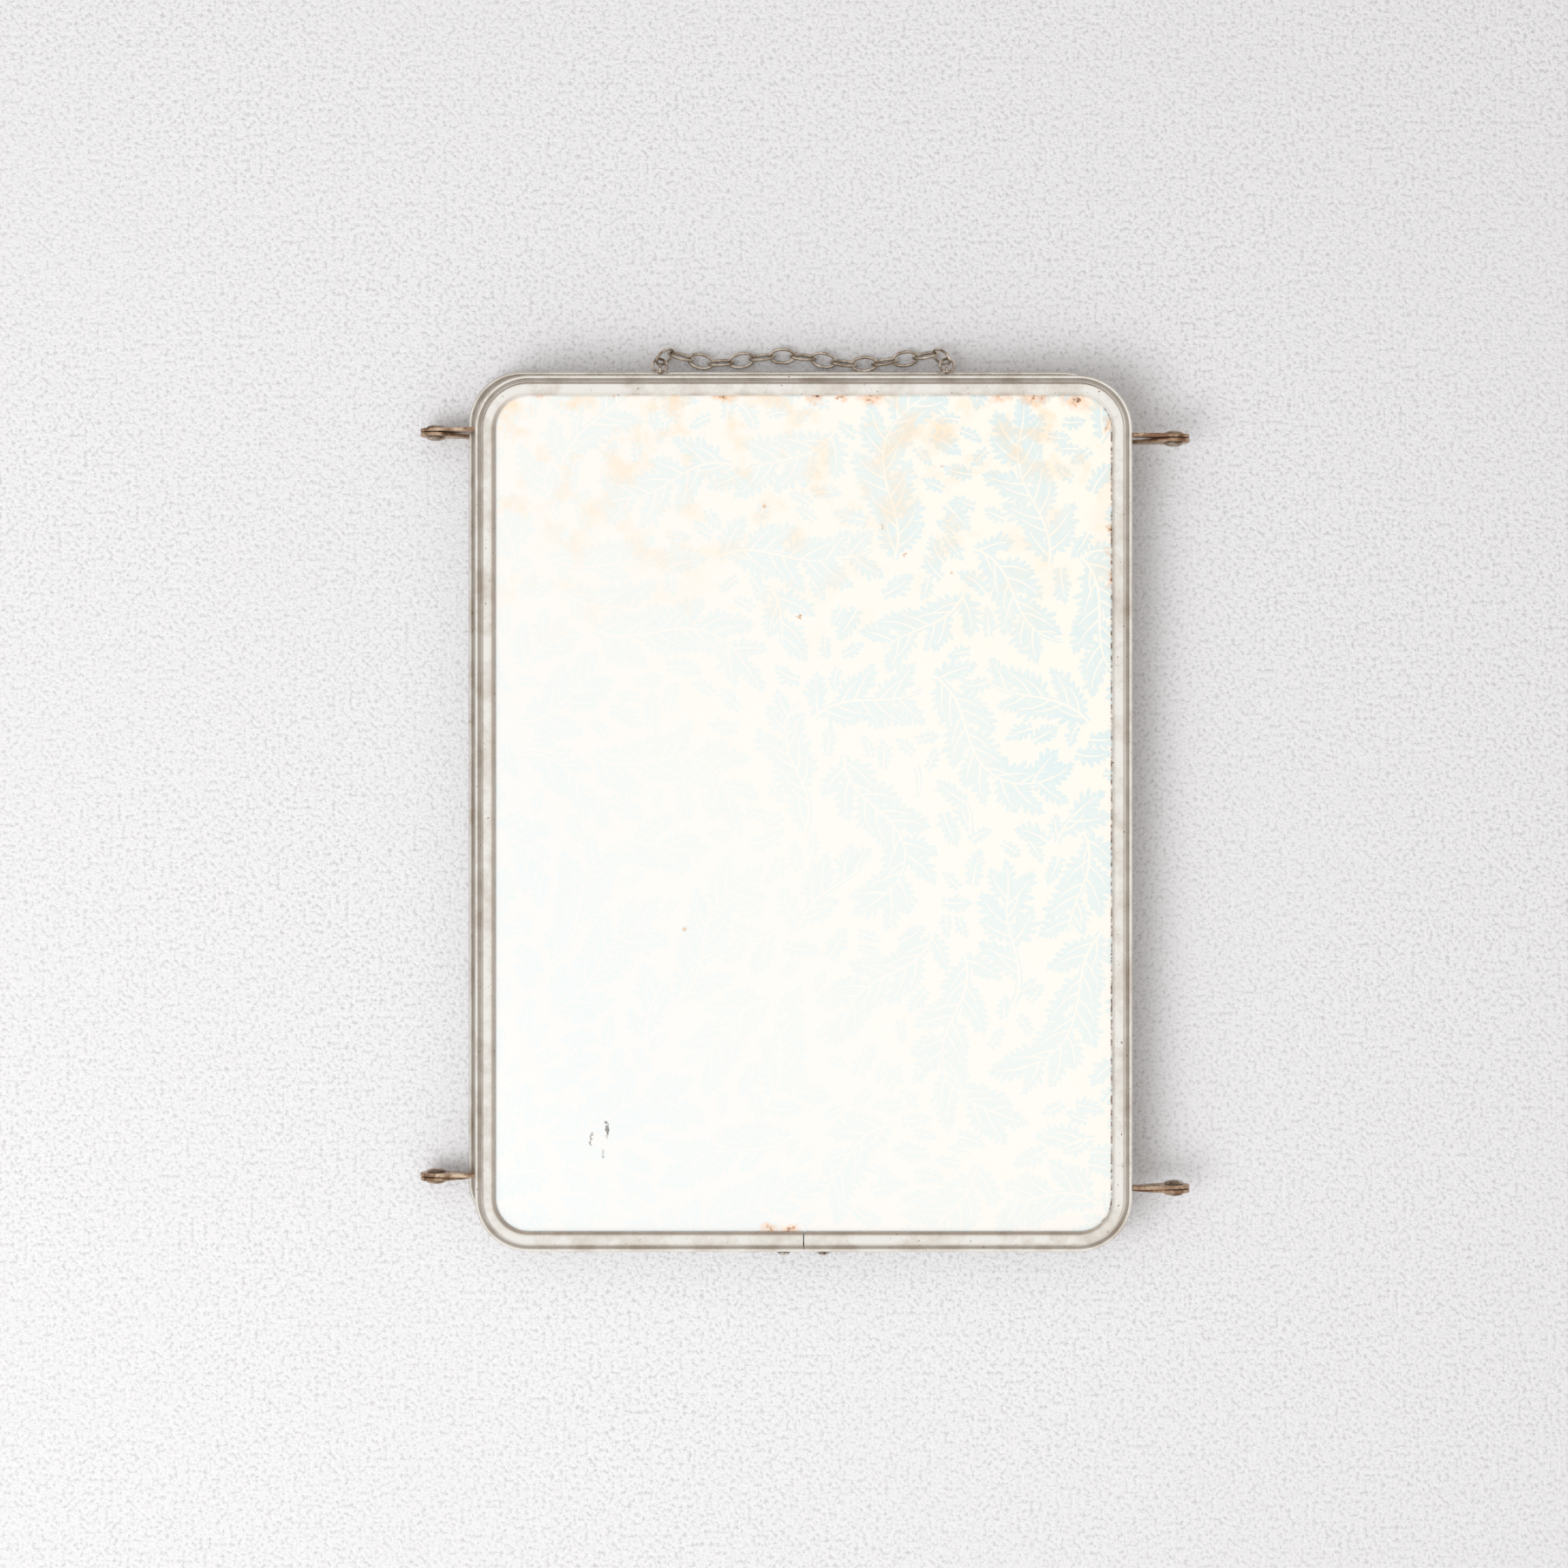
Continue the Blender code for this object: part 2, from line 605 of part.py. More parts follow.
def main():
    clear_scene()
    collection = new_collection("folding_vanity_mirror")
    cutters = new_collection("cutters")
    looks = {
        "nickel": nickel(),
        "brass": tarnished_brass(),
        "rivet": tarnished_brass(),
        "chain": chain_nickel(),
        "steel": steel(),
        "glass": silvered_glass(),
        "board": greyboard(),
        "tin": printed_tin(),
    }
    # Each leaf: its middle, which way its glass faces, and its arms as (side, offset along Y)
    leaves = {
        "left": (LEFT_CENTRE, -1, ((-1, -ARM_OFFSET),)),
        "centre": (CENTRE_CENTRE, 1, ((-1, ARM_OFFSET), (1, -ARM_OFFSET))),
        "right": (RIGHT_CENTRE, -1, ((1, ARM_OFFSET),)),
    }
    pieces = {}
    for name, (centre, glass_side, arms) in leaves.items():
        places = [
            (side, hinge_y(side, end) + offset) for side, offset in arms for end in (-1, 1)
        ]
        has_eyelets = name == "centre"
        pieces[name] = leaf(
            name, centre, glass_side, places, has_eyelets, collection, cutters, looks
        )
        for side, arm_y in places:
            pieces[name].append(
                hinge_arm(name, centre, side, arm_y, collection, cutters, looks)
            )
    for side in (-1, 1):
        for end in (-1, 1):
            pivot_rivet(side, end, collection, looks)
        chain_eyelet(side, collection, cutters, looks)
    links = chain_links(collection, looks)
    left_axis = (-PIVOT_X, LEAF_Y, PIVOT_Z[-1])
    right_axis = (PIVOT_X, LEAF_Y, PIVOT_Z[1])
    carried_by("left_wing_axis", left_axis, pieces["left"], collection)
    carried_by("right_wing_axis", right_axis, pieces["right"], collection)
    carried_by("chain_axis", (0, EYELET_Y, EYELET_Z), links, collection)


main()
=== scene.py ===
# %% [markdown]
# # A folding vanity mirror
# Three framed mirrors of one size are hinged side by side with riveted arms, and fold flat into a
# stack. Folded shut, what shows is the back of one wing: a sheet of printed tin, held all round
# in a moulded metal frame.
#
# The measured solids come in first, once the cube, lamp and camera that a new Blender file holds
# are gone. Everything made here takes its place from the solids, and moves with the same bodies.

# %% Load the measured solids
import bpy
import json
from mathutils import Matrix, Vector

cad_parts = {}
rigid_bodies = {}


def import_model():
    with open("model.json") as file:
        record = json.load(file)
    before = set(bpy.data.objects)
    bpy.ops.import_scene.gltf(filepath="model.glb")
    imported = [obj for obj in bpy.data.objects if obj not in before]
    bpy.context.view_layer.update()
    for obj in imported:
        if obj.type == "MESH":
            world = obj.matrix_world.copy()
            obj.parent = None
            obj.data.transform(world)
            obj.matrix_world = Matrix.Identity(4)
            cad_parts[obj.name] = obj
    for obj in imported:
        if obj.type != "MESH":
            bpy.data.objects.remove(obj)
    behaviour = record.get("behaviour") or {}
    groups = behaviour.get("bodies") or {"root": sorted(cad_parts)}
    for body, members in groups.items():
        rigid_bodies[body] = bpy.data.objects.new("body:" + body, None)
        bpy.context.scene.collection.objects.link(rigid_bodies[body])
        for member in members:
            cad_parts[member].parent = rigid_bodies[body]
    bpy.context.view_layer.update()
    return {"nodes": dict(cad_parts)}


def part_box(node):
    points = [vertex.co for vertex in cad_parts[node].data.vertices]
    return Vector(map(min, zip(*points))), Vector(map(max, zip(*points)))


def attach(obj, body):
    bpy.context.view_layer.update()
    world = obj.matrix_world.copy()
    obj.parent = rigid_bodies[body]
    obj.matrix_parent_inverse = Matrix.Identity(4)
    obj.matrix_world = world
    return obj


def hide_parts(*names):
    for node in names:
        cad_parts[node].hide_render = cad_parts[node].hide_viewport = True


for obj in list(bpy.data.objects):
    bpy.data.objects.remove(obj, do_unlink=True)
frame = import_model()

# %% Libraries and the unit
import json
import math
import random

import bmesh
import numpy as np
from mathutils import Matrix, Vector
from mathutils.geometry import delaunay_2d_cdt

MM = 0.001

# %% [markdown]
# ## Helpers for modelling
# Blender's operators act on whatever is selected, so each step starts by selecting one thing.
# These few helpers do by code what a hand does with the mouse: name the new object, go into edit
# mode, pick faces by where they are, and apply a modifier.


# %% Select, name and edit
def deselect():
    """Leave edit mode and select nothing."""
    if bpy.context.mode != "OBJECT":
        bpy.ops.object.mode_set(mode="OBJECT")
    bpy.ops.object.select_all(action="DESELECT")


def named(name):
    """Name the object that an operator has just made."""
    obj = bpy.context.object
    obj.name = name
    obj.data.name = name
    return obj


def select_only(obj):
    deselect()
    obj.select_set(True)
    bpy.context.view_layer.objects.active = obj


def edit(obj, everything=True):
    """Go into edit mode on one object."""
    select_only(obj)
    bpy.ops.object.mode_set(mode="EDIT")
    bpy.ops.mesh.select_mode(type="VERT")
    bpy.ops.mesh.select_all(action="SELECT" if everything else "DESELECT")


# %% Pick vertices, modify and shade
def pick(obj, test):
    """In edit mode, select the vertices that pass a test on their place."""
    bpy.ops.mesh.select_all(action="DESELECT")
    mesh = bmesh.from_edit_mesh(obj.data)
    for vert in mesh.verts:
        vert.select_set(test(vert.co))
    mesh.select_flush(True)
    bmesh.update_edit_mesh(obj.data)


def modify(obj, kind, **settings):
    """Add a modifier and apply it."""
    modifier = obj.modifiers.new(kind.lower(), kind)
    for setting, value in settings.items():
        setattr(modifier, setting, value)
    select_only(obj)
    bpy.ops.object.modifier_apply(modifier=modifier.name)


def drop(obj):
    bpy.data.objects.remove(obj, do_unlink=True)


def combine(obj, other, operation):
    """Join, or cut away, another closed shape, which is then removed."""
    modify(obj, "BOOLEAN", object=other, operation=operation, solver="EXACT")
    drop(other)


def shade(obj, degrees=30):
    """Round faces shade smooth, and corners sharper than this stay crisp."""
    select_only(obj)
    bpy.ops.object.shade_smooth_by_angle(angle=math.radians(degrees))


# %% [markdown]
# A finished piece keeps its object at the origin, with its place in its mesh, as the solids do.
# Then it can ride on a body, stand for a solid, and take a finish.


# %% Place and hand over a piece
def moved(obj, matrix):
    """Put a place or a turn into the mesh itself."""
    obj.data.transform(matrix)
    if matrix.determinant() < 0:
        obj.data.flip_normals()
    obj.data.update()
    return obj


def copied(obj, name, matrix):
    """A copy with a mesh of its own, put in its place."""
    other = obj.copy()
    other.data = obj.data.copy()
    other.name = name
    other.data.name = name
    bpy.context.scene.collection.objects.link(other)
    return moved(other, matrix)


def settled(obj, body, node, material):
    """Give a piece its finish and its body, and hide the solid it stands for."""
    obj.data.materials.clear()
    obj.data.materials.append(material)
    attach(obj, body)
    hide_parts(node)
    return obj


def middle_of(node):
    low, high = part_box(node)
    return (low + high) / 2


# %% [markdown]
# Turned parts, such as rivets and screws, are one outline carried round an axis. Here the outline
# is climbed from its foot: a disc is extruded to each height and scaled to each radius. Spin
# would do as well, but it leaves a seam to close.


# %% Turned pieces
def turned(name, outline, sides):
    """Climb an outline of (radius, height) points about the Z axis."""
    deselect()
    radius, height = outline[0]
    bpy.ops.mesh.primitive_circle_add(
        vertices=sides, radius=radius, fill_type="NGON", location=(0, 0, height)
    )
    obj = named(name)
    bpy.ops.object.transform_apply(location=True)
    edit(obj)
    for next_radius, next_height in outline[1:]:
        climb = (0, 0, next_height - height)
        bpy.ops.mesh.extrude_region_move(TRANSFORM_OT_translate={"value": climb})
        share = next_radius / radius
        bpy.ops.transform.resize(value=(share, share, 1), center_override=(0, 0, next_height))
        radius, height = next_radius, next_height
    bpy.ops.mesh.select_all(action="SELECT")
    bpy.ops.mesh.normals_make_consistent(inside=False)
    deselect()
    return obj


def dome(base, height, radius, steps=8):
    """A low dome's outline from its rim up to its crown."""
    angles = np.radians(np.linspace(0, 87, steps + 1))
    return [(radius * math.cos(a), base + height * math.sin(a)) for a in angles]


# %% [markdown]
# ## Helpers for finishes
# A finish is a small tree of nodes. One function adds a node, sets it and feeds it, and another
# turns the usual hex colours into the linear ones that Blender works in. A Mix node blends
# colours rather than numbers once it is told to, and then its third output is the one to use.


# %% Colours and nodes
BLEND = {"out": 2, "data_type": "RGBA"}


def linear(code):
    """An sRGB hex colour as linear red, green, blue and alpha."""
    parts = [int(code[i : i + 2], 16) / 255 for i in (1, 3, 5)]
    return (*[c / 12.92 if c <= 0.04045 else ((c + 0.055) / 1.055) ** 2.4 for c in parts], 1)


def feed(tree, node, feeds):
    """Set a node's inputs, by name or number, or link other nodes to them."""
    for socket, value in feeds.items():
        if isinstance(value, bpy.types.NodeSocket):
            tree.links.new(value, node.inputs[socket])
        else:
            node.inputs[socket].default_value = value


def add(tree, kind, feeds, out=0, **settings):
    """Add a node, set it, feed it, and return one of its outputs."""
    node = tree.nodes.new("ShaderNode" + kind)
    for setting, value in settings.items():
        setattr(node, setting, value)
    feed(tree, node, feeds)
    return node.outputs[out]


def new_finish(name, **numbers):
    """A material, its tree and shader, and the place of a point on the object, in metres."""
    material = bpy.data.materials.new(name)
    material.use_nodes = True
    shader = material.node_tree.nodes["Principled BSDF"]
    feed(material.node_tree, shader, numbers)
    print("finish:", name)
    place = add(material.node_tree, "TexCoord", {}, out="Object")
    return material, material.node_tree, shader, place


# %% [markdown]
# ## The floor, the light and the camera
# The mirror lies on a white board with a fine rolled texture. The board is only scenery. Its grain
# is about a millimetre and a half across: a small bump, and a trace of shade in the hollows.

# %% The white board
FLOOR_GRAIN = 1.5 * MM
FLOOR_SIZE = 6

material, tree, shader, place = new_finish("rolled_white_board", Roughness=0.75)
grain = {"Vector": place, "Scale": 1 / FLOOR_GRAIN, "Detail": 3, "Roughness": 0.65}
grain = add(tree, "TexNoise", grain)
patches = add(tree, "TexNoise", {"Vector": place, "Scale": 9, "Detail": 2})
patches = add(tree, "Math", {0: patches, 1: 0.6}, operation="MULTIPLY")
soft = add(tree, "MapRange", {"Value": grain, "From Min": 0.34, "From Max": 0.5})
colour = linear("#B4B4B5")
for factor, code in ((soft, "#D9D9DC"), (patches, "#D4D4D6")):
    colour = add(tree, "Mix", {0: factor, 6: colour, 7: linear(code)}, **BLEND)
bump = add(tree, "Bump", {"Height": grain, "Strength": 0.9, "Distance": 0.9 * MM})
feed(tree, shader, {"Base Color": colour, "Normal": bump})

deselect()
bpy.ops.mesh.primitive_plane_add(size=FLOOR_SIZE)
floor = named("floor")
floor.data.materials.append(material)

# %% [markdown]
# Polished metal shows the room rather than itself. So the sky here is a plain room: white
# overhead, brightest on the window side, and falling to eye level, where it is pale on one side
# and a warm brown on the other. Without that fall the frame would look like plastic. The camera
# itself sees a pale backdrop.

# %% The room
WINDOW_SIDE = Vector((-0.75, -0.65, 0)).normalized()
WINDOW_LEAN = 0.3
PALE_SIDE = Vector((0.75, -0.65, 0)).normalized()
SKY = ((0.0, "#6B5A50"), (0.2, "#8C7C72"), (0.42, "#C4B8AC"), (0.68, "#FBFAF8"), (1.0, "#FFFFFF"))
BRIGHTNESS = 1.05

world = bpy.data.worlds.new("plain_room")
bpy.context.scene.world = world
world.use_nodes = True
tree = world.node_tree
toward = add(tree, "TexCoord", {}, out="Generated")
upward = add(tree, "SeparateXYZ", {0: toward}, out=2)
window = add(tree, "VectorMath", {0: toward, 1: WINDOW_SIDE}, out=1, operation="DOT_PRODUCT")
lean = add(tree, "Math", {0: window, 1: WINDOW_LEAN}, operation="MULTIPLY")
level = add(tree, "Math", {0: upward, 1: lean}, operation="ADD")
ramp = add(tree, "ValToRGB", {0: level})
elements = ramp.node.color_ramp.elements
for height, _ in SKY[1:-1]:
    elements.new(height)
for element, (height, code) in zip(elements, SKY):
    element.position = height
    element.color = linear(code)
pale = add(tree, "VectorMath", {0: toward, 1: PALE_SIDE}, out=1, operation="DOT_PRODUCT")
pale = add(tree, "MapRange", {"Value": pale, "From Min": -0.5, "From Max": 0.6})
walls = {0: pale, 6: linear("#66564B"), 7: linear("#FFFDFA")}
walls = add(tree, "Mix", walls, **BLEND)
eye_level = add(tree, "MapRange", {"Value": upward, "From Min": 0.5, "From Max": 0.15})
room = add(tree, "Mix", {0: eye_level, 6: ramp, 7: walls}, **BLEND)
seen = add(tree, "LightPath", {}, out="Is Camera Ray")
shown = add(tree, "Mix", {0: seen, 6: room, 7: linear("#DCDCDC")}, **BLEND)
feed(tree, tree.nodes["Background"], {"Color": shown, "Strength": BRIGHTNESS})
print("sky colours:", len(elements))

# %% [markdown]
# One large lamp stands for the window, above and to the left. Its height keeps the stack's shadow
# short, and its size makes the shadow's edge soft. The metal mirrors the room and not the lamp,
# which would whiten the dark stripes of the moulding.

# %% The window light
LAMP_SIZE = 0.8
LAMP_POWER = 13.6

deselect()
bpy.ops.object.light_add(type="AREA", location=(-0.55, -0.4, 1.3))
lamp = named("window_light")
lamp.data.shape = "SQUARE"
lamp.data.size = LAMP_SIZE
lamp.data.energy = LAMP_POWER
lamp.visible_glossy = False
lamp.rotation_euler = (-lamp.location).to_track_quat("-Z", "Y").to_euler()
print("lamp distance:", round(lamp.location.length, 2))

# %% [markdown]
# The camera looks straight down, a little above and left of the stack's middle.

# %% The camera
LENS = 75
SENSOR = 36
VIEW_WIDTH = 535.5 * MM
CAMERA_ASIDE = Vector((-6.7, 10.1, 0)) * MM

wing_middle = middle_of("right_frame")
top_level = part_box("right_frame")[1].z
deselect()
bpy.ops.object.camera_add(rotation=(0, 0, 0))
camera = named("camera")
camera.data.lens = LENS
camera.data.sensor_width = SENSOR
camera.location = wing_middle + CAMERA_ASIDE
camera.location.z = top_level + VIEW_WIDTH * LENS / SENSOR
bpy.context.scene.camera = camera
bpy.context.scene.view_settings.view_transform = "Standard"
print("camera height:", round(camera.location.z, 3))

# %% [markdown]
# ## The moulded frame
# Each frame is one strip of sheet metal, rolled into a hollow moulding and bent round the leaf.
# From the outer wall inwards it has a small bead, a narrow groove, a round crest and a long slope
# down to the lip that holds the tin. The outline here is the same as the measured solid's, with
# finer arcs.

# %% The moulding's outline
SHEET = 0.6 * MM
FLANGE_WIDTH = 7 * MM
WALL_HALF_HEIGHT = 2.5 * MM
LIP_HEIGHT = 3.5 * MM
CREST_HEIGHT = 4.5 * MM
CHANNEL_DEPTH = 2.8 * MM
BEAD = ((0.65 * MM, WALL_HALF_HEIGHT), 0.65 * MM)
GROOVE = ((1.62 * MM, WALL_HALF_HEIGHT), 0.3 * MM)
CROWN = ((3.8 * MM, CREST_HEIGHT - 1.6 * MM), 1.6 * MM)
SLOPE = ((4.6 * MM, CREST_HEIGHT - 3 * MM), 3 * MM)


def arc(circle, start, end, steps, shrink=0):
    """Points on an arc of a circle, in degrees, both ends included."""
    (x, y), radius = circle
    angles = np.radians(np.linspace(start, end, steps + 1))
    reach = radius - shrink
    return [(x + reach * math.cos(a), y + reach * math.sin(a)) for a in angles]


outer_skin = arc(BEAD, 180, 20, 8) + arc(GROOVE, 150, 30, 4)
outer_skin += arc(CROWN, 180, 90, 9) + arc(SLOPE, 90, 50, 6) + [(FLANGE_WIDTH, LIP_HEIGHT)]
inner_skin = [(FLANGE_WIDTH, LIP_HEIGHT - SHEET)]
inner_skin += arc(SLOPE, 50, 90, 3, SHEET) + arc(CROWN, 90, 180, 4, SHEET)
inner_skin += [(CHANNEL_DEPTH, WALL_HALF_HEIGHT - SHEET), (SHEET, WALL_HALF_HEIGHT - SHEET)]
upper_half = outer_skin + inner_skin
moulding = upper_half + [(inward, -height) for inward, height in reversed(upper_half)]
print("points round the moulding:", len(moulding))

# %% [markdown]
# A circle with as many points as the outline becomes the outline, standing at one side of the
# seam. Extruding its edges makes a straight run, and spinning them makes a corner. Four of each,
# and a last half run, bring it back to the seam, where the two ends are closed.

# %% Roll the strip round a leaf
CORNER_RADIUS = 18.5 * MM
CORNER_STEPS = 20
SEAM_GAP = 0.45 * MM
leaf_low, leaf_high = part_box("right_frame")
HALF_WIDTH = (leaf_high.x - leaf_low.x) / 2
HALF_HEIGHT = (leaf_high.y - leaf_low.y) / 2


def rolled_frame(name):
    """A frame about the origin, with its seam in the middle of its bottom edge."""
    deselect()
    bpy.ops.mesh.primitive_circle_add(vertices=len(moulding), fill_type="NOTHING")
    obj = named(name)
    for vert, (inward, height) in zip(obj.data.vertices, moulding):
        vert.co = (SEAM_GAP / 2, inward - HALF_HEIGHT, height)
    across = HALF_WIDTH - CORNER_RADIUS
    along = HALF_HEIGHT - CORNER_RADIUS
    half_run = across - SEAM_GAP / 2
    legs = (
        ((half_run, 0, 0), (across, -along, 0)),
        ((0, 2 * along, 0), (across, along, 0)),
        ((-2 * across, 0, 0), (-across, along, 0)),
        ((0, -2 * along, 0), (-across, -along, 0)),
    )
    edit(obj)
    for run, corner in legs:
        bpy.ops.mesh.extrude_edges_move(TRANSFORM_OT_translate={"value": run})
        bpy.ops.mesh.spin(
            steps=CORNER_STEPS, angle=math.radians(-90), center=corner, axis=(0, 0, 1)
        )
    bpy.ops.mesh.extrude_edges_move(TRANSFORM_OT_translate={"value": (half_run, 0, 0)})
    bpy.ops.mesh.select_all(action="SELECT")
    bpy.ops.mesh.fill_holes(sides=0)
    bpy.ops.mesh.select_all(action="SELECT")
    bpy.ops.mesh.normals_make_consistent(inside=False)
    deselect()
    return obj


plain_frame = rolled_frame("plain_frame")
print("frame size, mm:", [round(side / MM, 2) for side in plain_frame.dimensions])

# %% [markdown]
# The wall is pierced for the seam screws, for the tangs of the hinge arms and for the chain's
# eyelets. The cutters are simple cylinders and boxes, set where the measured screws, arms and
# eyelets are.

# %% Cutters for the holes
CLEARANCE = 0.3 * MM
SCREW_RADIUS = 0.8 * MM
EYELET_SHANK_RADIUS = 0.7 * MM
ARM_THICKNESS = 1.2 * MM
TANG_HEIGHT = 2.9 * MM
THROUGH = 3 * MM
LIE_ALONG_Y = Matrix.Rotation(math.radians(90), 4, "X")


def pin(name, place, radius, length, sides=40):
    """A cylinder lying along Y."""
    deselect()
    bpy.ops.mesh.primitive_cylinder_add(vertices=sides, radius=radius, depth=length)
    return moved(named(name), Matrix.Translation(place) @ LIE_ALONG_Y)


def block(name, place, size):
    deselect()
    bpy.ops.mesh.primitive_cube_add(size=1)
    return moved(named(name), Matrix.Translation(place) @ Matrix.Diagonal((*size, 1)))


def pierce(obj, place, radius):
    """Cut a round hole through a wall that faces along Y."""
    combine(obj, pin("cutter", place, radius + CLEARANCE, THROUGH, 24), "DIFFERENCE")


# %% [markdown]
# A map follows the strip: one way along it, the other way round its outline from the middle of
# the outer wall, both in metres. Streaks and the groove's grime and painted shade can then run
# with the metal, round the corners too.

# %% Map the strip
skin_steps = [math.dist(a, b) for a, b in zip(outer_skin, outer_skin[1:])]
skin_along = np.concatenate([[0], np.cumsum(skin_steps)]) + WALL_HALF_HEIGHT
GROOVE_AT = float(skin_along[11])
LIP_AT = float(skin_along[-1])


def strip_place(x, y, z):
    """Where a point of a frame about the origin lies: along the strip, and round its outline."""
    across = HALF_WIDTH - CORNER_RADIUS
    along = HALF_HEIGHT - CORNER_RADIUS
    beyond_x = abs(x) - across
    beyond_y = abs(y) - along
    quarter = math.radians(90) * CORNER_RADIUS
    if beyond_x > 0 and beyond_y > 0:
        inward = CORNER_RADIUS - math.hypot(beyond_x, beyond_y)
        run = across + math.atan2(beyond_x, beyond_y) * CORNER_RADIUS
    elif beyond_y > beyond_x:
        inward = -beyond_y + CORNER_RADIUS
        run = abs(x)
    else:
        inward = -beyond_x + CORNER_RADIUS
        run = across + quarter + along - abs(y)
    if y > 0:
        run = 2 * (across + quarter + along) - run
    gaps = [math.dist((inward, abs(z)), point) for point in outer_skin]
    round_it = abs(z) if inward < 0.01 * MM else float(skin_along[int(np.argmin(gaps))])
    return math.copysign(run, x), math.copysign(round_it, z)


def map_strip(obj):
    places = [strip_place(*vert.co) for vert in obj.data.vertices]
    layer = obj.data.uv_layers.new(name="Strip")
    for loop in obj.data.loops:
        layer.data[loop.index].uv = places[loop.vertex_index]


map_strip(plain_frame)
print("groove lies", round(GROOVE_AT / MM, 2), "mm round the outline")

# %% [markdown]
# The frame is nickel on brass. Nickel gives a warm grey mirror. Age has dulled it in cloudy
# patches and worn pinholes through to the brass, and the rolling mill left fine lines along the
# strip. The groove and the lip's edge are darkened brown, partly with grime and partly with
# painted shade, where the hollows of the moulding fall in shade.

# %% Aged nickel plate
aged_nickel, tree, shader, place = new_finish("aged_nickel_plate", Metallic=1)
strip = add(tree, "UVMap", {}, uv_map="Strip")
round_it = add(tree, "SeparateXYZ", {0: strip}, out=1)
round_it = add(tree, "Math", {0: round_it}, operation="ABSOLUTE")
cloud = add(tree, "TexNoise", {"Vector": place, "Scale": 90, "Detail": 5, "Roughness": 0.65})
speck = add(tree, "TexNoise", {"Vector": place, "Scale": 900, "Detail": 2})

# Painted shade and grime: a brown band in the groove, and a patchy one at the lip's edge, stand
# partly for dirt and partly for the shade in these hollows.
from_groove = add(tree, "Math", {0: round_it, 1: GROOVE_AT}, operation="SUBTRACT")
from_groove = add(tree, "Math", {0: from_groove}, operation="ABSOLUTE")
falloff = {"Value": from_groove, "From Min": 0.7 * MM, "From Max": 0.12 * MM}
groove_grime_and_shade = add(tree, "MapRange", falloff, interpolation_type="SMOOTHSTEP")
falloff = {"Value": round_it, "From Min": LIP_AT - 0.8 * MM, "From Max": LIP_AT}
lip_grime_and_shade = add(tree, "MapRange", {**falloff, "To Max": 0.2})
broken = add(tree, "MapRange", {"Value": cloud, "From Min": 0.38, "From Max": 0.66})
lip_grime_and_shade = add(tree, "Math", {0: lip_grime_and_shade, 1: broken}, operation="MULTIPLY")
groove_grime_and_shade = add(tree, "Math", {0: groove_grime_and_shade, 1: 0.5}, operation="MULTIPLY")
grime_and_shade = add(tree, "Math", {0: groove_grime_and_shade, 1: lip_grime_and_shade}, operation="MAXIMUM")

tarnish = add(tree, "MapRange", {"Value": cloud, "From Min": 0.45, "From Max": 0.75})
pins = add(tree, "MapRange", {"Value": speck, "From Min": 0.71, "From Max": 0.75})
colour = linear("#EBE8E2")
# The dark brown of the groove and the lip is part grime, part painted shade.
for factor, code in ((tarnish, "#CEC4B8"), (grime_and_shade, "#6E5646"), (pins, "#8A6A4C")):
    colour = add(tree, "Mix", {0: factor, 6: colour, 7: linear(code)}, **BLEND)

# %% How the nickel shines
stretched = add(tree, "Mapping", {"Vector": strip, "Scale": (25, 2600, 1)})
lines = add(tree, "TexNoise", {"Vector": stretched, "Scale": 1, "Detail": 3})
gloss = add(tree, "MapRange", {"Value": cloud, "To Min": 0.16, "To Max": 0.36})
gloss = add(tree, "Math", {0: grime_and_shade, 1: 0.35, 2: gloss}, operation="MULTIPLY_ADD")
waves = add(tree, "TexNoise", {"Vector": place, "Scale": 60, "Detail": 1})
bump = add(tree, "Bump", {"Height": waves, "Strength": 0.25, "Distance": 0.25 * MM})
for height, strength, depth in ((lines, 0.12, 0.03 * MM), (pins, 0.3, -0.05 * MM)):
    bump = {"Height": height, "Strength": strength, "Distance": depth, "Normal": bump}
    bump = add(tree, "Bump", bump)
feed(tree, shader, {"Base Color": colour, "Roughness": gloss, "Normal": bump})

# %% [markdown]
# Three frames are copied from the plain one, each pierced for its own fittings.

# %% The three frames
LEAF_BODIES = {"left": "left_wing", "centre": "centre_leaf", "right": "right_wing"}
arm_nodes = {
    leaf: sorted(n for n in frame["nodes"] if n.startswith(leaf + "_arm_")) for leaf in LEAF_BODIES
}


def arm_height(node):
    """Where an arm's plate lies along Y. Its clenched end is bent towards the leaf's middle."""
    low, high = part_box(node)
    half = ARM_THICKNESS / 2
    return high.y - half if node.endswith("upper") else low.y + half


for leaf, body in LEAF_BODIES.items():
    middle = middle_of(f"{leaf}_frame")
    piece = copied(plain_frame, f"{leaf}_rolled_frame", Matrix.Translation(middle))
    for side in ("left", "right"):
        screw = middle_of(f"{leaf}_seam_screw_{side}")
        screw.y = middle.y - HALF_HEIGHT
        pierce(piece, screw, SCREW_RADIUS)
    for node in arm_nodes[leaf]:
        side = -1 if "_left_" in node else 1
        place = (middle.x + side * HALF_WIDTH, arm_height(node), middle.z)
        size = (THROUGH, ARM_THICKNESS + 2 * CLEARANCE, TANG_HEIGHT + 2 * CLEARANCE)
        combine(piece, block("cutter", place, size), "DIFFERENCE")
    if leaf == "centre":
        for side in ("left", "right"):
            place = middle_of(f"chain_eyelet_{side}")
            place.y = middle.y + HALF_HEIGHT
            pierce(piece, place, EYELET_SHANK_RADIUS)
    shade(piece, 32)
    settled(piece, body, f"{leaf}_frame", aged_nickel)
    print(piece.name, "faces:", len(piece.data.polygons))
drop(plain_frame)

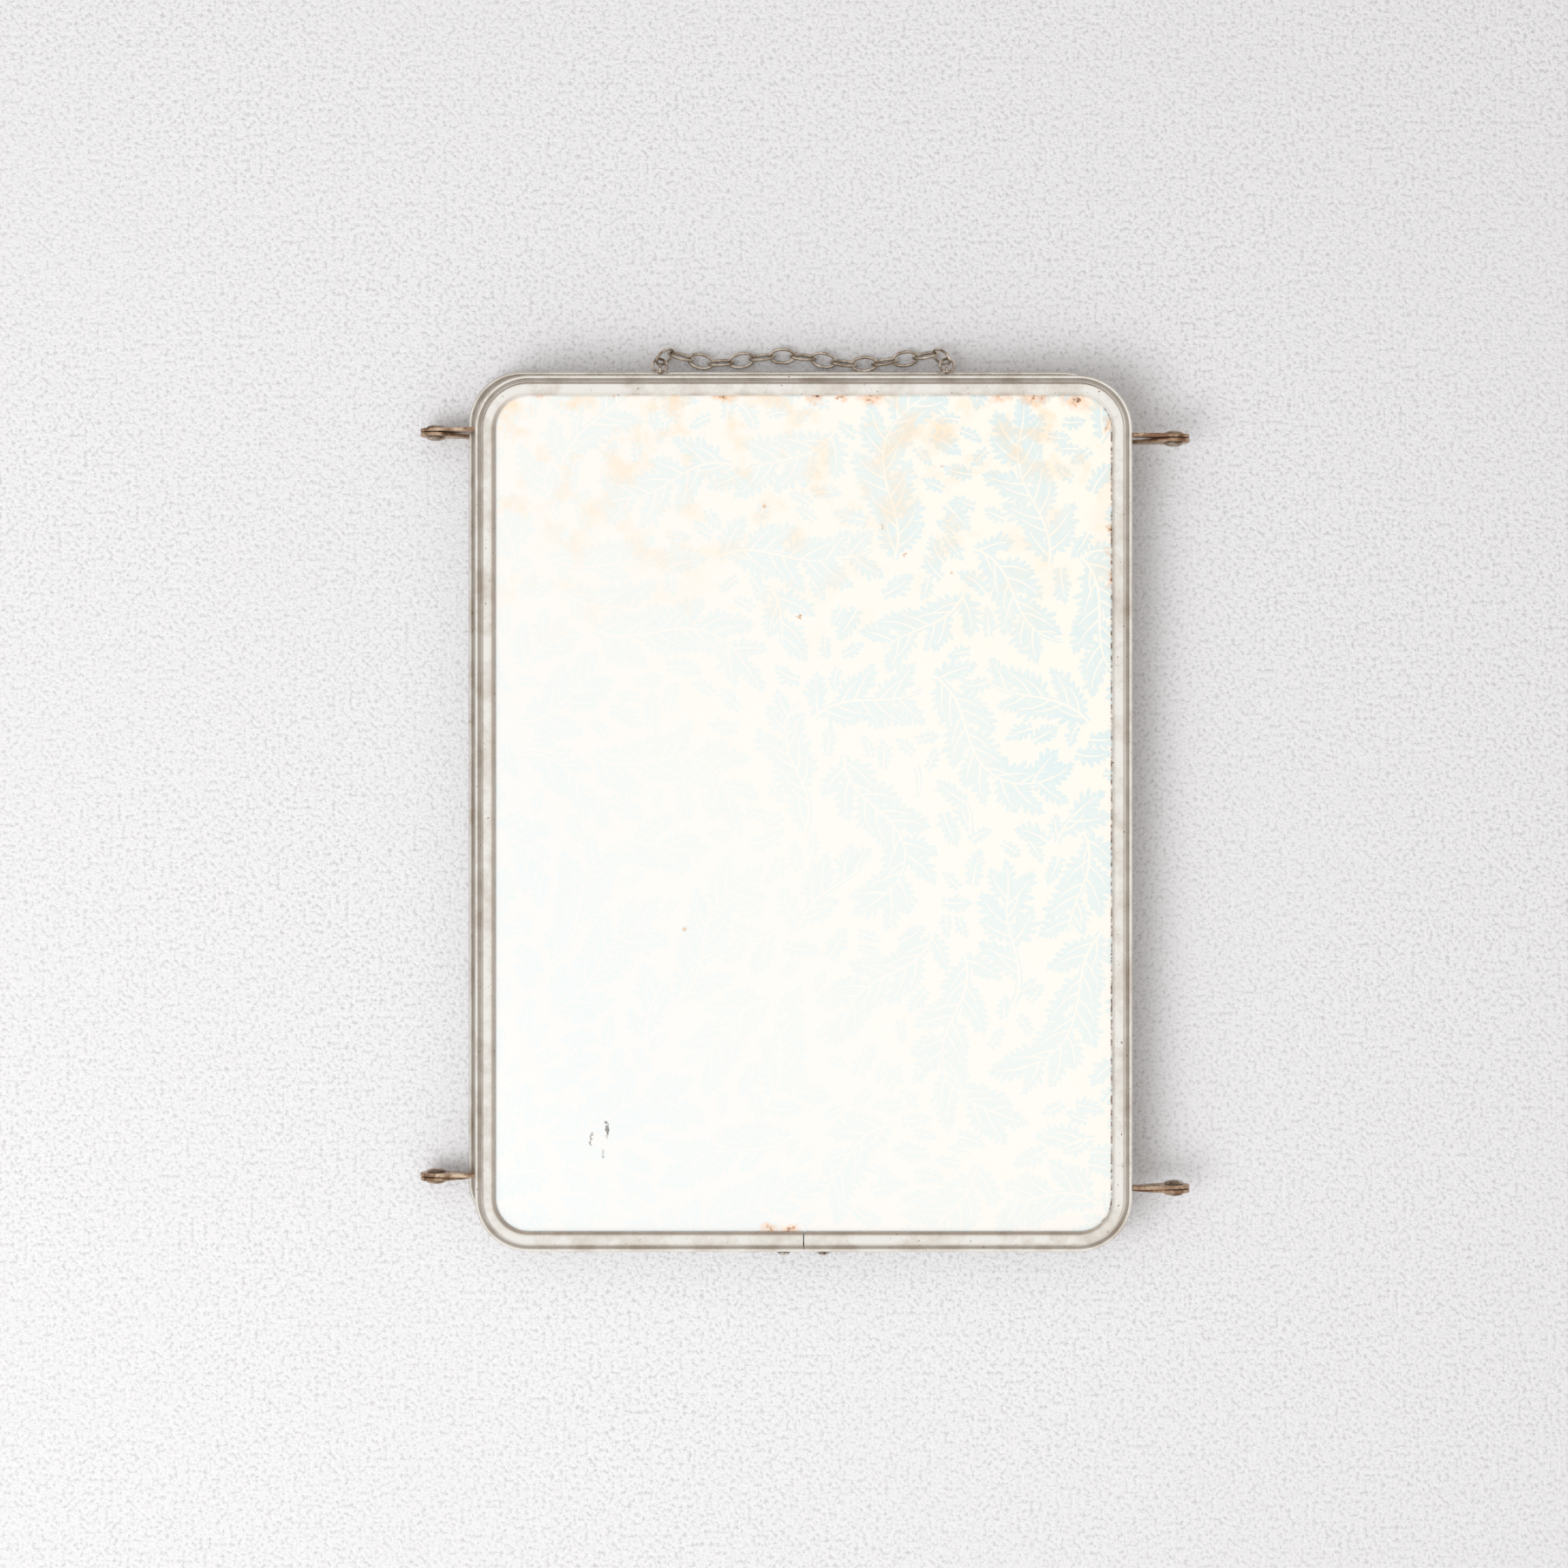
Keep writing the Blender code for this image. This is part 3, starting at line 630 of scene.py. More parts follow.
# %% [markdown]
# ## The printed tin
# The backs are tinplate, printed with an all-over scroll of feathery leaves in pale aqua on
# cream, with the stems and veins left cream. The print is drawn as flat shapes first. A stem
# wanders over the sheet, leaves grow from it on alternate sides, and a leaf is left out where
# another one already is, which is how a designer fills a ground evenly.

# %% Lines that bend, and room for them
dice = random.Random(41)
ROOM = 8 * MM
taken = {}


def around(spot):
    """The square of the sheet that a spot lies in, and the squares next to it."""
    column, row = round(spot[0] / ROOM), round(spot[1] / ROOM)
    return [(column + i, row + j) for i in (0, -1, 1) for j in (0, -1, 1)]


def take(spots):
    """Mark round spots (x, y, radius) as taken. No radius is over half a square."""
    for spot in spots:
        taken.setdefault(around(spot)[0], []).append(spot)


def ahead(point, heading, distance):
    return (point[0] + distance * math.cos(heading), point[1] + distance * math.sin(heading))


def bent_line(start, heading, length, curl, steps=8):
    """Points of a line that turns evenly on its way, each with its heading."""
    line = [(start, heading)]
    for _ in range(steps):
        heading += curl / steps
        line.append((ahead(line[-1][0], heading, length / steps), heading))
    return line


def is_free(spots):
    """True if no new spot lies over one that is taken."""
    return not any(
        math.dist(spot[:2], old[:2]) < spot[2] + old[2]
        for spot in spots
        for square in around(spot)
        for old in taken.get(square, ())
    )


# %% [markdown]
# A leaf is a spine with blunt fingers on both sides, longest in its middle and swept forwards.
# Cuts part them two thirds of the way down to the spine. The vein is a thin wedge that is left
# unprinted.


# %% Leaves and ribbons
def ribbon(line, start_half, end_half):
    """A tapering strip about a line of (point, heading)."""
    left, right = [], []
    for step, (point, heading) in enumerate(line):
        half = start_half + (end_half - start_half) * step / (len(line) - 1)
        left.append(ahead(point, heading + math.pi / 2, half))
        right.append(ahead(point, heading - math.pi / 2, half))
    return left + right[::-1]


def leaf_shape(line, length):
    """A feathered leaf's outline about its spine."""
    fingers = len(line) - 1
    sides = []
    for side in (1, -1):
        edge = []
        for step in range(fingers):
            point, heading = line[step]
            share = (step + 0.5) / fingers
            reach = length * (0.19 + 0.2 * math.sin(math.pi * min(1, share * 1.1)))
            reach *= dice.uniform(0.75, 1.2)
            swept = math.radians(66) - share * math.radians(36)
            sweep = heading + side * swept
            half = 0.43 * length / fingers * math.sin(swept)
            near, tip = ahead(point, sweep, 0.84 * reach), ahead(point, sweep, reach)
            edge.append(ahead(point, heading + side * math.pi / 2, 0.32 * reach))
            edge.append(ahead(near, sweep + side * math.pi / 2, half))
            edge.append(tip)
            edge.append(ahead(near, sweep - side * math.pi / 2, half))
        sides.append(edge)
    end, heading = line[-1]
    return sides[0] + [ahead(end, heading, 0.1 * length)] + sides[1][::-1]


# %% [markdown]
# Stems are grown from random places until they meet something, and dressed with leaves. What
# ground is still empty after that takes single leaves.

# %% Grow the pattern
LEAF_LENGTHS = [14 * MM, 12 * MM, 10 * MM, 8 * MM]
STEM_STEP = 2.2 * MM
STEM_ROOM = 2.6 * MM
inked, veins = [], []


def try_leaf(start, heading, curl, lengths):
    """Draw the longest of these leaves that has room."""
    for length in lengths:
        line = bent_line(start, heading, length, curl, 6 if length > 9 * MM else 5)
        spots = [(*line[k][0], 0.2 * length) for k in (2, 4, -1)]
        if is_free(spots):
            inked.append(leaf_shape(line, length))
            veins.append(ribbon(line[:-1], 0.38 * MM, 0.14 * MM))
            return spots
    return []


def grow_stem(start, heading):
    """A stem that curls one way and then the other, with its leaves."""
    curl = dice.choice((-1, 1)) * dice.uniform(0.1, 0.16)
    line = [(start, heading)]
    for step in range(dice.randint(16, 30)):
        heading += curl * math.cos(step * 0.16)
        point = ahead(line[-1][0], heading, STEM_STEP)
        if not is_free([(*point, STEM_ROOM)]):
            break
        line.append((point, heading))
    if len(line) < 6:
        return
    spots = []
    for step in range(1, len(line) - 1, 3):
        side = 1 if step % 2 else -1
        point, heading = line[step]
        lean = side * math.radians(dice.uniform(48, 66))
        curl_in = -side * dice.uniform(0.3, 0.9)
        spots += try_leaf(point, heading + lean, curl_in, LEAF_LENGTHS)
        point, heading = line[step + 1]
        spots += try_leaf(point, heading - lean, -curl_in, LEAF_LENGTHS[1:])
    spots += try_leaf(*line[-1], dice.uniform(-0.5, 0.5), [13 * MM, *LEAF_LENGTHS[2:]])
    inked.append(ribbon(line, 1.25 * MM, 0.7 * MM))
    veins.append(ribbon(line, 0.5 * MM, 0.25 * MM))
    take(spots)
    take([(*point, STEM_ROOM / 2) for point, _ in line])


def scattered(spacing, shake):
    """Places all over the sheet, this many millimetres apart and shaken, in random order."""
    places = [
        (x * MM + dice.uniform(-shake, shake) * MM, y * MM + dice.uniform(-shake, shake) * MM)
        for x in range(-112, 113, spacing)
        for y in range(-150, 151, spacing)
    ]
    dice.shuffle(places)
    return places


for start in scattered(14, 4):
    if is_free([(*start, 6 * MM)]):
        grow_stem(start, dice.uniform(0, math.tau))
print("leaves and stems:", len(inked))

# %% Fill the empty ground
for start in scattered(5, 1):
    if not is_free([(*start, 1.2 * MM)]):
        continue
    for _ in range(4):
        heading = dice.uniform(0, math.tau)
        spots = try_leaf(start, heading, dice.uniform(-0.8, 0.8), LEAF_LENGTHS[1:])
        if spots:
            take([*spots, (*start, 1.0 * MM)])
            break
print("after filling:", len(inked))

# %% [markdown]
# The sheet's face is cut along every printed edge, by a triangulation that keeps those edges, and
# each small face remembers whether it is inked. No picture is needed, and the edges stay crisp at
# any distance. The face is then given the tin's thickness by extruding its rim.

# %% Cut the sheet along the print
PLATE_INWARD = 3.3 * MM


def rounded_outline(half_x, half_y, radius, steps):
    outline = []
    for quarter, (sx, sy) in enumerate(((1, 1), (-1, 1), (-1, -1), (1, -1))):
        corner = ((sx * (half_x - radius), sy * (half_y - radius)), radius)
        outline += arc(corner, 90 * quarter, 90 * quarter + 90, steps)
    return outline


def lies_in(points, shape):
    """Which of these points a closed outline goes round, however it crosses itself."""
    x, y = points.T
    turns = np.zeros(len(points))
    for (x0, y0), (x1, y1) in zip(shape, shape[1:] + shape[:1]):
        side = (x1 - x0) * (y - y0) - (x - x0) * (y1 - y0)
        turns += (y0 <= y) & (y1 > y) & (side > 0)
        turns -= (y0 > y) & (y1 <= y) & (side < 0)
    return turns != 0


def covered(points, shapes):
    """Which of these points lie in any of the shapes."""
    found = np.zeros(len(points), bool)
    for shape in shapes:
        low, high = np.min(shape, axis=0), np.max(shape, axis=0)
        near = np.flatnonzero(((points >= low) & (points <= high)).all(axis=1) & ~found)
        found[near] = lies_in(points[near], shape)
    return found


def printed_sheet(name, thickness):
    """A tin sheet about the origin, its printed face up."""
    half_x = HALF_WIDTH - PLATE_INWARD
    half_y = HALF_HEIGHT - PLATE_INWARD
    rim = rounded_outline(half_x, half_y, CORNER_RADIUS - PLATE_INWARD, 12)
    points, edges = [], []
    for shape in [rim, *inked, *veins]:
        loop = range(len(points), len(points) + len(shape))
        edges += zip(loop, [*loop[1:], loop[0]])
        points += [Vector(point) / MM for point in shape]
    verts, _, faces, *_ = delaunay_2d_cdt(points, edges, [], 0, 0.001, False)
    verts = np.array(verts) * MM
    faces = np.array(faces)
    middles = verts[faces].mean(axis=1)
    kept = lies_in(middles, rim)
    faces, middles = faces[kept], middles[kept]
    ink = covered(middles, inked) & ~covered(middles, veins)
    mesh = bpy.data.meshes.new(name)
    mesh.from_pydata([(x, y, thickness / 2) for x, y in verts], [], faces.tolist())
    ink_layer = mesh.attributes.new("ink", "FLOAT", "FACE")
    ink_layer.data.foreach_set("value", ink.astype(np.float32))
    obj = bpy.data.objects.new(name, mesh)
    bpy.context.scene.collection.objects.link(obj)
    edit(obj)
    bpy.ops.mesh.delete_loose()
    bpy.ops.mesh.select_all(action="DESELECT")
    bpy.ops.mesh.select_mode(type="EDGE")
    bpy.ops.mesh.select_non_manifold()
    bpy.ops.mesh.extrude_edges_move(TRANSFORM_OT_translate={"value": (0, 0, -thickness)})
    bpy.ops.mesh.edge_face_add()
    bpy.ops.mesh.select_all(action="SELECT")
    bpy.ops.mesh.normals_make_consistent(inside=False)
    deselect()
    layer = mesh.uv_layers.new(name="Sheet")
    for loop in mesh.loops:
        layer.data[loop.index].uv = mesh.vertices[loop.vertex_index].co[:2]
    print("faces on the sheet:", len(mesh.polygons))
    return obj


low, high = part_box("right_back_panel")
plain_sheet = printed_sheet("plain_sheet", high.z - low.z)

# %% [markdown]
# Lithographed tin has a thin, slightly soft gloss. Towards the lower left the aqua is thinned and
# the cream turns grey-white: painted glare, where the window light falls strongest on the sheet.
# The varnish has yellowed in clouds near the top, rust creeps in from under the lip in dark specks
# with an orange halo, and there are a few brown specks and small grey scrapes.

# %% Printed tin: the sheet's edge
printed_tin, tree, shader, place = new_finish("lithographed_tinplate")
sheet = add(tree, "UVMap", {}, uv_map="Sheet")
age = add(tree, "Attribute", {}, out="Fac", attribute_name="age")
RIM_RADIUS = CORNER_RADIUS - FLANGE_WIDTH
rim = (HALF_WIDTH - CORNER_RADIUS, HALF_HEIGHT - CORNER_RADIUS, 0)
folded = add(tree, "VectorMath", {0: sheet}, operation="ABSOLUTE")
beyond = add(tree, "VectorMath", {0: folded, 1: rim}, operation="SUBTRACT")
outside = add(tree, "VectorMath", {0: beyond, 1: (0, 0, 0)}, operation="MAXIMUM")
outside = add(tree, "VectorMath", {0: outside}, out=1, operation="LENGTH")
beyond_x = add(tree, "SeparateXYZ", {0: beyond}, out=0)
beyond_y = add(tree, "SeparateXYZ", {0: beyond}, out=1)
inside = add(tree, "Math", {0: beyond_x, 1: beyond_y}, operation="MAXIMUM")
inside = add(tree, "Math", {0: inside, 1: 0}, operation="MINIMUM")
to_rim = add(tree, "Math", {0: outside, 1: inside}, operation="ADD")
to_rim = add(tree, "Math", {0: RIM_RADIUS, 1: to_rim}, operation="SUBTRACT")
print("lip corner radius, mm:", round(RIM_RADIUS / MM, 2))

# %% Printed tin: ink, painted glare and yellowed varnish
across = add(tree, "SeparateXYZ", {0: sheet}, out=0)
up = add(tree, "SeparateXYZ", {0: sheet}, out=1)
cloud = add(tree, "TexNoise", {"Vector": place, "Scale": 22, "Detail": 4, "Roughness": 0.6})
fine = add(tree, "TexNoise", {"Vector": place, "Scale": 420, "Detail": 3, "Roughness": 0.7})
ink = add(tree, "Attribute", {}, out="Fac", attribute_name="ink")
# Painted glare: the ink thins and the cream loses its warmth towards the lower left, where the
# light falls strongest.
away_from_painted_glare = add(tree, "Math", {0: up, 1: 0.55, 2: across}, operation="MULTIPLY_ADD")
falloff = {"Value": away_from_painted_glare, "From Min": -0.03, "From Max": 0.13, "To Min": 0.32, "To Max": 0.85}
ink_under_painted_glare = add(tree, "MapRange", falloff)
patchy = add(tree, "MapRange", {"Value": cloud, "From Min": 0.3, "From Max": 0.7, "To Min": 0.6})
grainy = add(tree, "MapRange", {"Value": fine, "From Min": 0.3, "From Max": 0.55, "To Min": 0.6})
for share in (ink_under_painted_glare, patchy, grainy):
    ink = add(tree, "Math", {0: ink, 1: share}, operation="MULTIPLY")
warmth_under_painted_glare = {"Value": away_from_painted_glare, "From Min": -0.12, "From Max": 0.17, "To Max": 0.34}
warmth_under_painted_glare = add(tree, "MapRange", warmth_under_painted_glare)
cream = {0: warmth_under_painted_glare, 6: linear("#D8D8D7"), 7: linear("#FFF0D8")}
cream = add(tree, "Mix", cream, **BLEND)

foxed = add(tree, "TexNoise", {"Vector": place, "Scale": 85, "Detail": 5, "Roughness": 0.6})
foxed = {"Value": foxed, "From Min": 0.5, "From Max": 0.72, "To Max": 0.6}
foxed = add(tree, "MapRange", foxed)
high_up = add(tree, "MapRange", {"Value": up, "From Min": 0.05, "From Max": 0.14})
foxed = add(tree, "Math", {0: foxed, 1: high_up}, operation="MULTIPLY")

# %% Printed tin: rust from under the lip
RUST_ALONG = ((4, 142.5, 3), (13, 143, 2), (23, 142.5, 4.5), (67, 142.5, 3), (79, 142.5, 5))
RUST_ALONG += ((93, 141, 4.5), (-90, 143, 2.5), (-65.5, 143, 1.5), (-28, 143, 4))
RUST_ALONG += ((-12, -142.5, 3), (-4, -142.5, 3.5))
RUST_UP = ((104, 133, 2.5), (105.5, 97, 2), (105.5, 88, 2.5), (105.5, 80, 3))
RAGGEDNESS = (9 * MM, 9 * MM, 0)

mottle = add(tree, "TexNoise", {"Vector": place, "Scale": 420, "Detail": 4, "Roughness": 0.7})
ragged = {"Vector": place, "Scale": 300, "Detail": 4, "Roughness": 0.7}
ragged = add(tree, "TexNoise", ragged, out="Color")
ragged = add(tree, "VectorMath", {0: ragged, 1: (0.5, 0.5, 0.5)}, operation="SUBTRACT")
ragged = add(tree, "VectorMath", {0: ragged, 1: RAGGEDNESS}, operation="MULTIPLY")
ragged = add(tree, "VectorMath", {0: ragged, 1: sheet}, operation="ADD")


def nearest(starts, stretch=(1, 1, 1)):
    """How near, from 0 to 1, the sheet is to any of these spots (x, y, reach), in mm."""
    found = None
    for x, y, reach in starts:
        gap = add(tree, "VectorMath", {0: ragged, 1: (x * MM, y * MM, 0)}, operation="SUBTRACT")
        gap = add(tree, "VectorMath", {0: gap, 1: stretch}, operation="MULTIPLY")
        gap = add(tree, "VectorMath", {0: gap}, out=1, operation="LENGTH")
        closeness = add(tree, "MapRange", {"Value": gap, "From Min": reach * MM, "From Max": 0})
        if found:
            closeness = add(tree, "Math", {0: found, 1: closeness}, operation="MAXIMUM")
        found = closeness
    return found


along_rim = nearest(RUST_ALONG, (0.6, 1, 1))
rusty = add(tree, "Math", {0: along_rim, 1: nearest(RUST_UP, (1, 0.5, 1))}, operation="MAXIMUM")
rusty = add(tree, "Math", {0: rusty, 1: age}, operation="MULTIPLY")
halo = add(tree, "Math", {0: rusty, 1: mottle}, operation="MULTIPLY")
halo = add(tree, "MapRange", {"Value": halo, "From Min": 0.1, "From Max": 0.5, "To Max": 0.75})
on_right = {"Value": across, "From Min": 0.098, "From Max": 0.104, "To Min": 0.55}
on_right = add(tree, "MapRange", on_right)
edge_line = {"Value": to_rim, "From Min": 0.9 * MM, "From Max": 0.3 * MM}
edge_line = add(tree, "MapRange", edge_line)
for share in (on_right, age):
    edge_line = add(tree, "Math", {0: edge_line, 1: share}, operation="MULTIPLY")
core = add(tree, "MapRange", {"Value": rusty, "From Min": 0.35, "From Max": 0.9})
crust = add(tree, "Math", {0: core, 1: edge_line}, operation="MAXIMUM")
crust = add(tree, "Math", {0: mottle, 1: crust}, operation="MULTIPLY")
crust = add(tree, "MapRange", {"Value": crust, "From Min": 0.43, "From Max": 0.56})

# %% Printed tin: specks and scrapes
cells = {"Vector": place, "Scale": 75}
near = add(tree, "TexVoronoi", cells, feature="F1")
lot = add(tree, "TexVoronoi", cells, out=1, feature="F1")
lot = add(tree, "SeparateColor", {0: lot})
chosen = add(tree, "MapRange", {"Value": lot, "From Min": 0.93, "From Max": 0.95})
speck = add(tree, "MapRange", {"Value": near, "From Min": 0.07, "From Max": 0.03})
for share in (chosen, age):
    speck = add(tree, "Math", {0: speck, 1: share}, operation="MULTIPLY")

DOTS = ((-1.9, 67.5, 0.7), (47, 119, 0.5), (35, 88, 0.5), (51, 82, 0.6), (27, 97, 0.5))
dots = add(tree, "MapRange", {"Value": nearest(DOTS), "From Min": 0.1, "From Max": 0.6})
dots = add(tree, "Math", {0: dots, 1: age}, operation="MULTIPLY")

SCRAPES = ((-72.4, -111.2, 1.2), (-67.3, -108.6, 1.5), (-68.7, -117, 0.7))
marks = nearest(SCRAPES, (1, 0.3, 1))
for share in (mottle, age):
    marks = add(tree, "Math", {0: marks, 1: share}, operation="MULTIPLY")
marks = add(tree, "MapRange", {"Value": marks, "From Min": 0.2, "From Max": 0.34})

# %% Printed tin: all its colours, and its gloss
colour = cream
layers = ((ink, "#BFD4D8"), (foxed, "#E8C294"), (halo, "#DCA676"), (crust, "#6B4A36"))
layers += ((speck, "#C9996C"), (dots, "#B98A5C"), (marks, "#7A7672"))
for factor, code in layers:
    colour = add(tree, "Mix", {0: factor, 6: colour, 7: linear(code)}, **BLEND)
spoilt = add(tree, "Math", {0: crust, 1: marks}, operation="MAXIMUM")
gloss = add(tree, "MapRange", {"Value": cloud, "To Min": 0.3, "To Max": 0.46})
gloss = add(tree, "Math", {0: spoilt, 1: 0.35, 2: gloss}, operation="MULTIPLY_ADD")
bump = add(tree, "Bump", {"Height": cloud, "Strength": 0.12, "Distance": 0.4 * MM})
for height, strength, depth in ((fine, 0.1, 0.03 * MM), (spoilt, 0.6, 0.06 * MM)):
    bump = {"Height": height, "Strength": strength, "Distance": depth, "Normal": bump}
    bump = add(tree, "Bump", bump)
feed(tree, shader, {"Base Color": colour, "Roughness": gloss, "Normal": bump})
print("layers on the tin:", len(layers))

# %% [markdown]
# Each leaf gets its own copy of the sheet. On the centre leaf the print faces the other way, so
# that sheet is turned over. How much a leaf has aged is kept with its sheet.

# %% The three backs
PRINT_FACES = {"left": 1, "centre": -1, "right": 1}
AGES = {"left": 0.55, "centre": 0.7, "right": 1.0}

for leaf, body in LEAF_BODIES.items():
    node = f"{leaf}_back_panel"
    turn = Matrix.Rotation(math.radians(0 if PRINT_FACES[leaf] > 0 else 180), 4, "Y")
    place = Matrix.Translation(middle_of(node)) @ turn
    piece = copied(plain_sheet, f"{leaf}_printed_back", place)
    values = [AGES[leaf]] * len(piece.data.vertices)
    piece.data.attributes.new("age", "FLOAT", "POINT").data.foreach_set("value", values)
    settled(piece, body, node, printed_tin)
drop(plain_sheet)

# %% [markdown]
# ## The seam screws
# Two small round-headed screws hold the frame's ends to a plate behind the seam. They are plated
# steel, with a saw-cut slot that has filled with dirt. One is turned, slotted and copied.

# %% Plated steel
def worn_metal(name, cloud, dull, colours, gloss, dents):
    """A metal that is clean in some patches and dull in others."""
    material, tree, shader, place = new_finish(name, Metallic=1)
    cloud = add(tree, "TexNoise", {"Vector": place, **cloud})
    dull = add(tree, "MapRange", {"Value": cloud, **dull})
    clean, dirty = map(linear, colours)
    colour = add(tree, "Mix", {0: dull, 6: clean, 7: dirty}, **BLEND)
    gloss = add(tree, "MapRange", {"Value": cloud, **gloss})
    bump = add(tree, "Bump", {"Height": cloud, "Strength": 0.3, "Distance": dents})
    feed(tree, shader, {"Base Color": colour, "Roughness": gloss, "Normal": bump})
    return material


plated_steel = worn_metal(
    "plated_steel_screw",
    cloud={"Scale": 600, "Detail": 4, "Roughness": 0.7},
    dull={"From Min": 0.42, "From Max": 0.66},
    colours=("#CFC8BD", "#6A5647"),
    gloss={"From Min": 0.42, "From Max": 0.66, "To Min": 0.22, "To Max": 0.5},
    dents=0.03 * MM,
)

# %% Turn a screw and copy it
HEAD_RADIUS = 2.3 * MM
HEAD_HEIGHT = 1.4 * MM
SHANK_LENGTH = 2.9 * MM
SLOT_WIDTH = 0.5 * MM
SLOT_DEPTH = 0.6 * MM
SLOT_TURNS = {"left": 28, "right": -35}

outline = [(0.3 * MM, -SHANK_LENGTH), (SCREW_RADIUS, -SHANK_LENGTH + 0.4 * MM)]
outline += [(SCREW_RADIUS, CLEARANCE)]
outline += dome(CLEARANCE, HEAD_HEIGHT - CLEARANCE, HEAD_RADIUS)
plain_screw = turned("plain_screw", outline, 40)
size = (3 * HEAD_RADIUS, SLOT_WIDTH, 2 * SLOT_DEPTH)
combine(plain_screw, block("saw", (0, 0, HEAD_HEIGHT), size), "DIFFERENCE")
shade(plain_screw)

for leaf, body in LEAF_BODIES.items():
    for side, degrees in SLOT_TURNS.items():
        node = f"{leaf}_seam_screw_{side}"
        place = middle_of(node)
        place.y = middle_of(f"{leaf}_frame").y - HALF_HEIGHT
        turn = LIE_ALONG_Y @ Matrix.Rotation(math.radians(degrees), 4, "Z")
        turn = Matrix.Translation(place) @ turn
        piece = copied(plain_screw, f"{leaf}_slotted_screw_{side}", turn)
        settled(piece, body, node, plated_steel)
drop(plain_screw)

# %% [markdown]
# ## The hinges
# Each hinge is a pair of flat brass arms, one on each leaf, riveted together at their round eyes.
# An arm's tang goes through a slot in the frame and is clenched over inside. The plate is the
# hull round its eye and its root, with its edges eased, and the tang, the clench and the rivet
# hole are joined on or cut.

# %% Tarnished brass
tarnished_brass, tree, shader, place = new_finish("tarnished_brass", Metallic=1)
cloud = add(tree, "TexNoise", {"Vector": place, "Scale": 190, "Detail": 5, "Roughness": 0.65})
speck = add(tree, "TexNoise", {"Vector": place, "Scale": 1100, "Detail": 2})
worn = add(tree, "MapRange", {"Value": cloud, "From Min": 0.36, "From Max": 0.62})
black = add(tree, "MapRange", {"Value": speck, "From Min": 0.6, "From Max": 0.72})
colour = linear("#DCC4AA")
for factor, code in ((worn, "#8E6C55"), (black, "#33261F")):
    colour = add(tree, "Mix", {0: factor, 6: colour, 7: linear(code)}, **BLEND)
gloss = add(tree, "MapRange", {"Value": cloud, "To Min": 0.26, "To Max": 0.55})
bump = add(tree, "Bump", {"Height": speck, "Strength": 0.35, "Distance": 0.04 * MM})
feed(tree, shader, {"Base Color": colour, "Roughness": gloss, "Normal": bump})

# %% Shape an arm
EYE_RADIUS = 5.4 * MM
ROOT_HEIGHT = 5 * MM
CLENCH_WIDTH = 4 * MM
CLENCH_THICKNESS = 1.1 * MM
RIVET_RADIUS = 1.5 * MM
EASED_EDGE = 0.18 * MM


def hinge_plate(name, leaf, node):
    """An arm from its rivet's place to the frame's wall, with its clenched tang."""
    side = -1 if "_left_" in node else 1
    end = 1 if node.endswith("upper") else -1
    rivet = middle_of("pivot_rivet_" + node.split("_arm_")[1])
    leaf_middle = middle_of(f"{leaf}_frame")
    level = arm_height(node)
    wall = leaf_middle.x + side * HALF_WIDTH
    root = wall + side * (CLEARANCE + ARM_THICKNESS / 2)
    eye = (rivet.x, level, rivet.z)
    obj = pin(name, eye, EYE_RADIUS, ARM_THICKNESS, 48)
    foot = block("foot", (root, level, leaf_middle.z), (ARM_THICKNESS, ARM_THICKNESS, ROOT_HEIGHT))
    deselect()
    foot.select_set(True)
    obj.select_set(True)
    bpy.context.view_layer.objects.active = obj
    bpy.ops.object.join()
    edit(obj)
    bpy.ops.mesh.convex_hull()
    bpy.ops.mesh.select_all(action="SELECT")
    bpy.ops.mesh.dissolve_limited(angle_limit=math.radians(1))
    deselect()
    modify(obj, "BEVEL", width=EASED_EDGE, segments=2, limit_method="ANGLE", angle_limit=1.0)
    clench = wall - side * (SHEET + CLEARANCE + CLENCH_THICKNESS / 2)
    tang_size = (abs(root - clench), ARM_THICKNESS, TANG_HEIGHT)
    tang = block("tang", ((root + clench) / 2, level, leaf_middle.z), tang_size)
    combine(obj, tang, "UNION")
    bent = level - end * (CLENCH_WIDTH - ARM_THICKNESS) / 2
    fold = (CLENCH_THICKNESS, CLENCH_WIDTH, TANG_HEIGHT)
    combine(obj, block("fold", (clench, bent, leaf_middle.z), fold), "UNION")
    combine(obj, pin("hole", eye, RIVET_RADIUS + CLEARANCE, THROUGH), "DIFFERENCE")
    shade(obj, 40)
    return obj


for leaf, body in LEAF_BODIES.items():
    for node in arm_nodes[leaf]:
        piece = hinge_plate(node.replace("_arm_", "_hinge_plate_"), leaf, node)
        settled(piece, body, node, tarnished_brass)
print("hinge plates:", sum(len(nodes) for nodes in arm_nodes.values()))

# %% [markdown]
# The rivets were once nickelled like the frame. Now they are grey where the plate still holds,
# and brown where it is worn through.

# %% Worn rivets
worn_rivet = worn_metal(
    "worn_nickelled_rivet",
    cloud={"Scale": 330, "Detail": 4, "Roughness": 0.65},
    dull={"From Min": 0.4, "From Max": 0.64},
    colours=("#BDAF9F", "#6F5645"),
    gloss={"To Min": 0.25, "To Max": 0.5},
    dents=0.05 * MM,
)

# %% Turn a rivet and copy it
RIVET_HEAD_RADIUS = 3.35 * MM
RIVET_HEAD_HEIGHT = 1.1 * MM
GRIP = ARM_THICKNESS + 1.5 * CLEARANCE

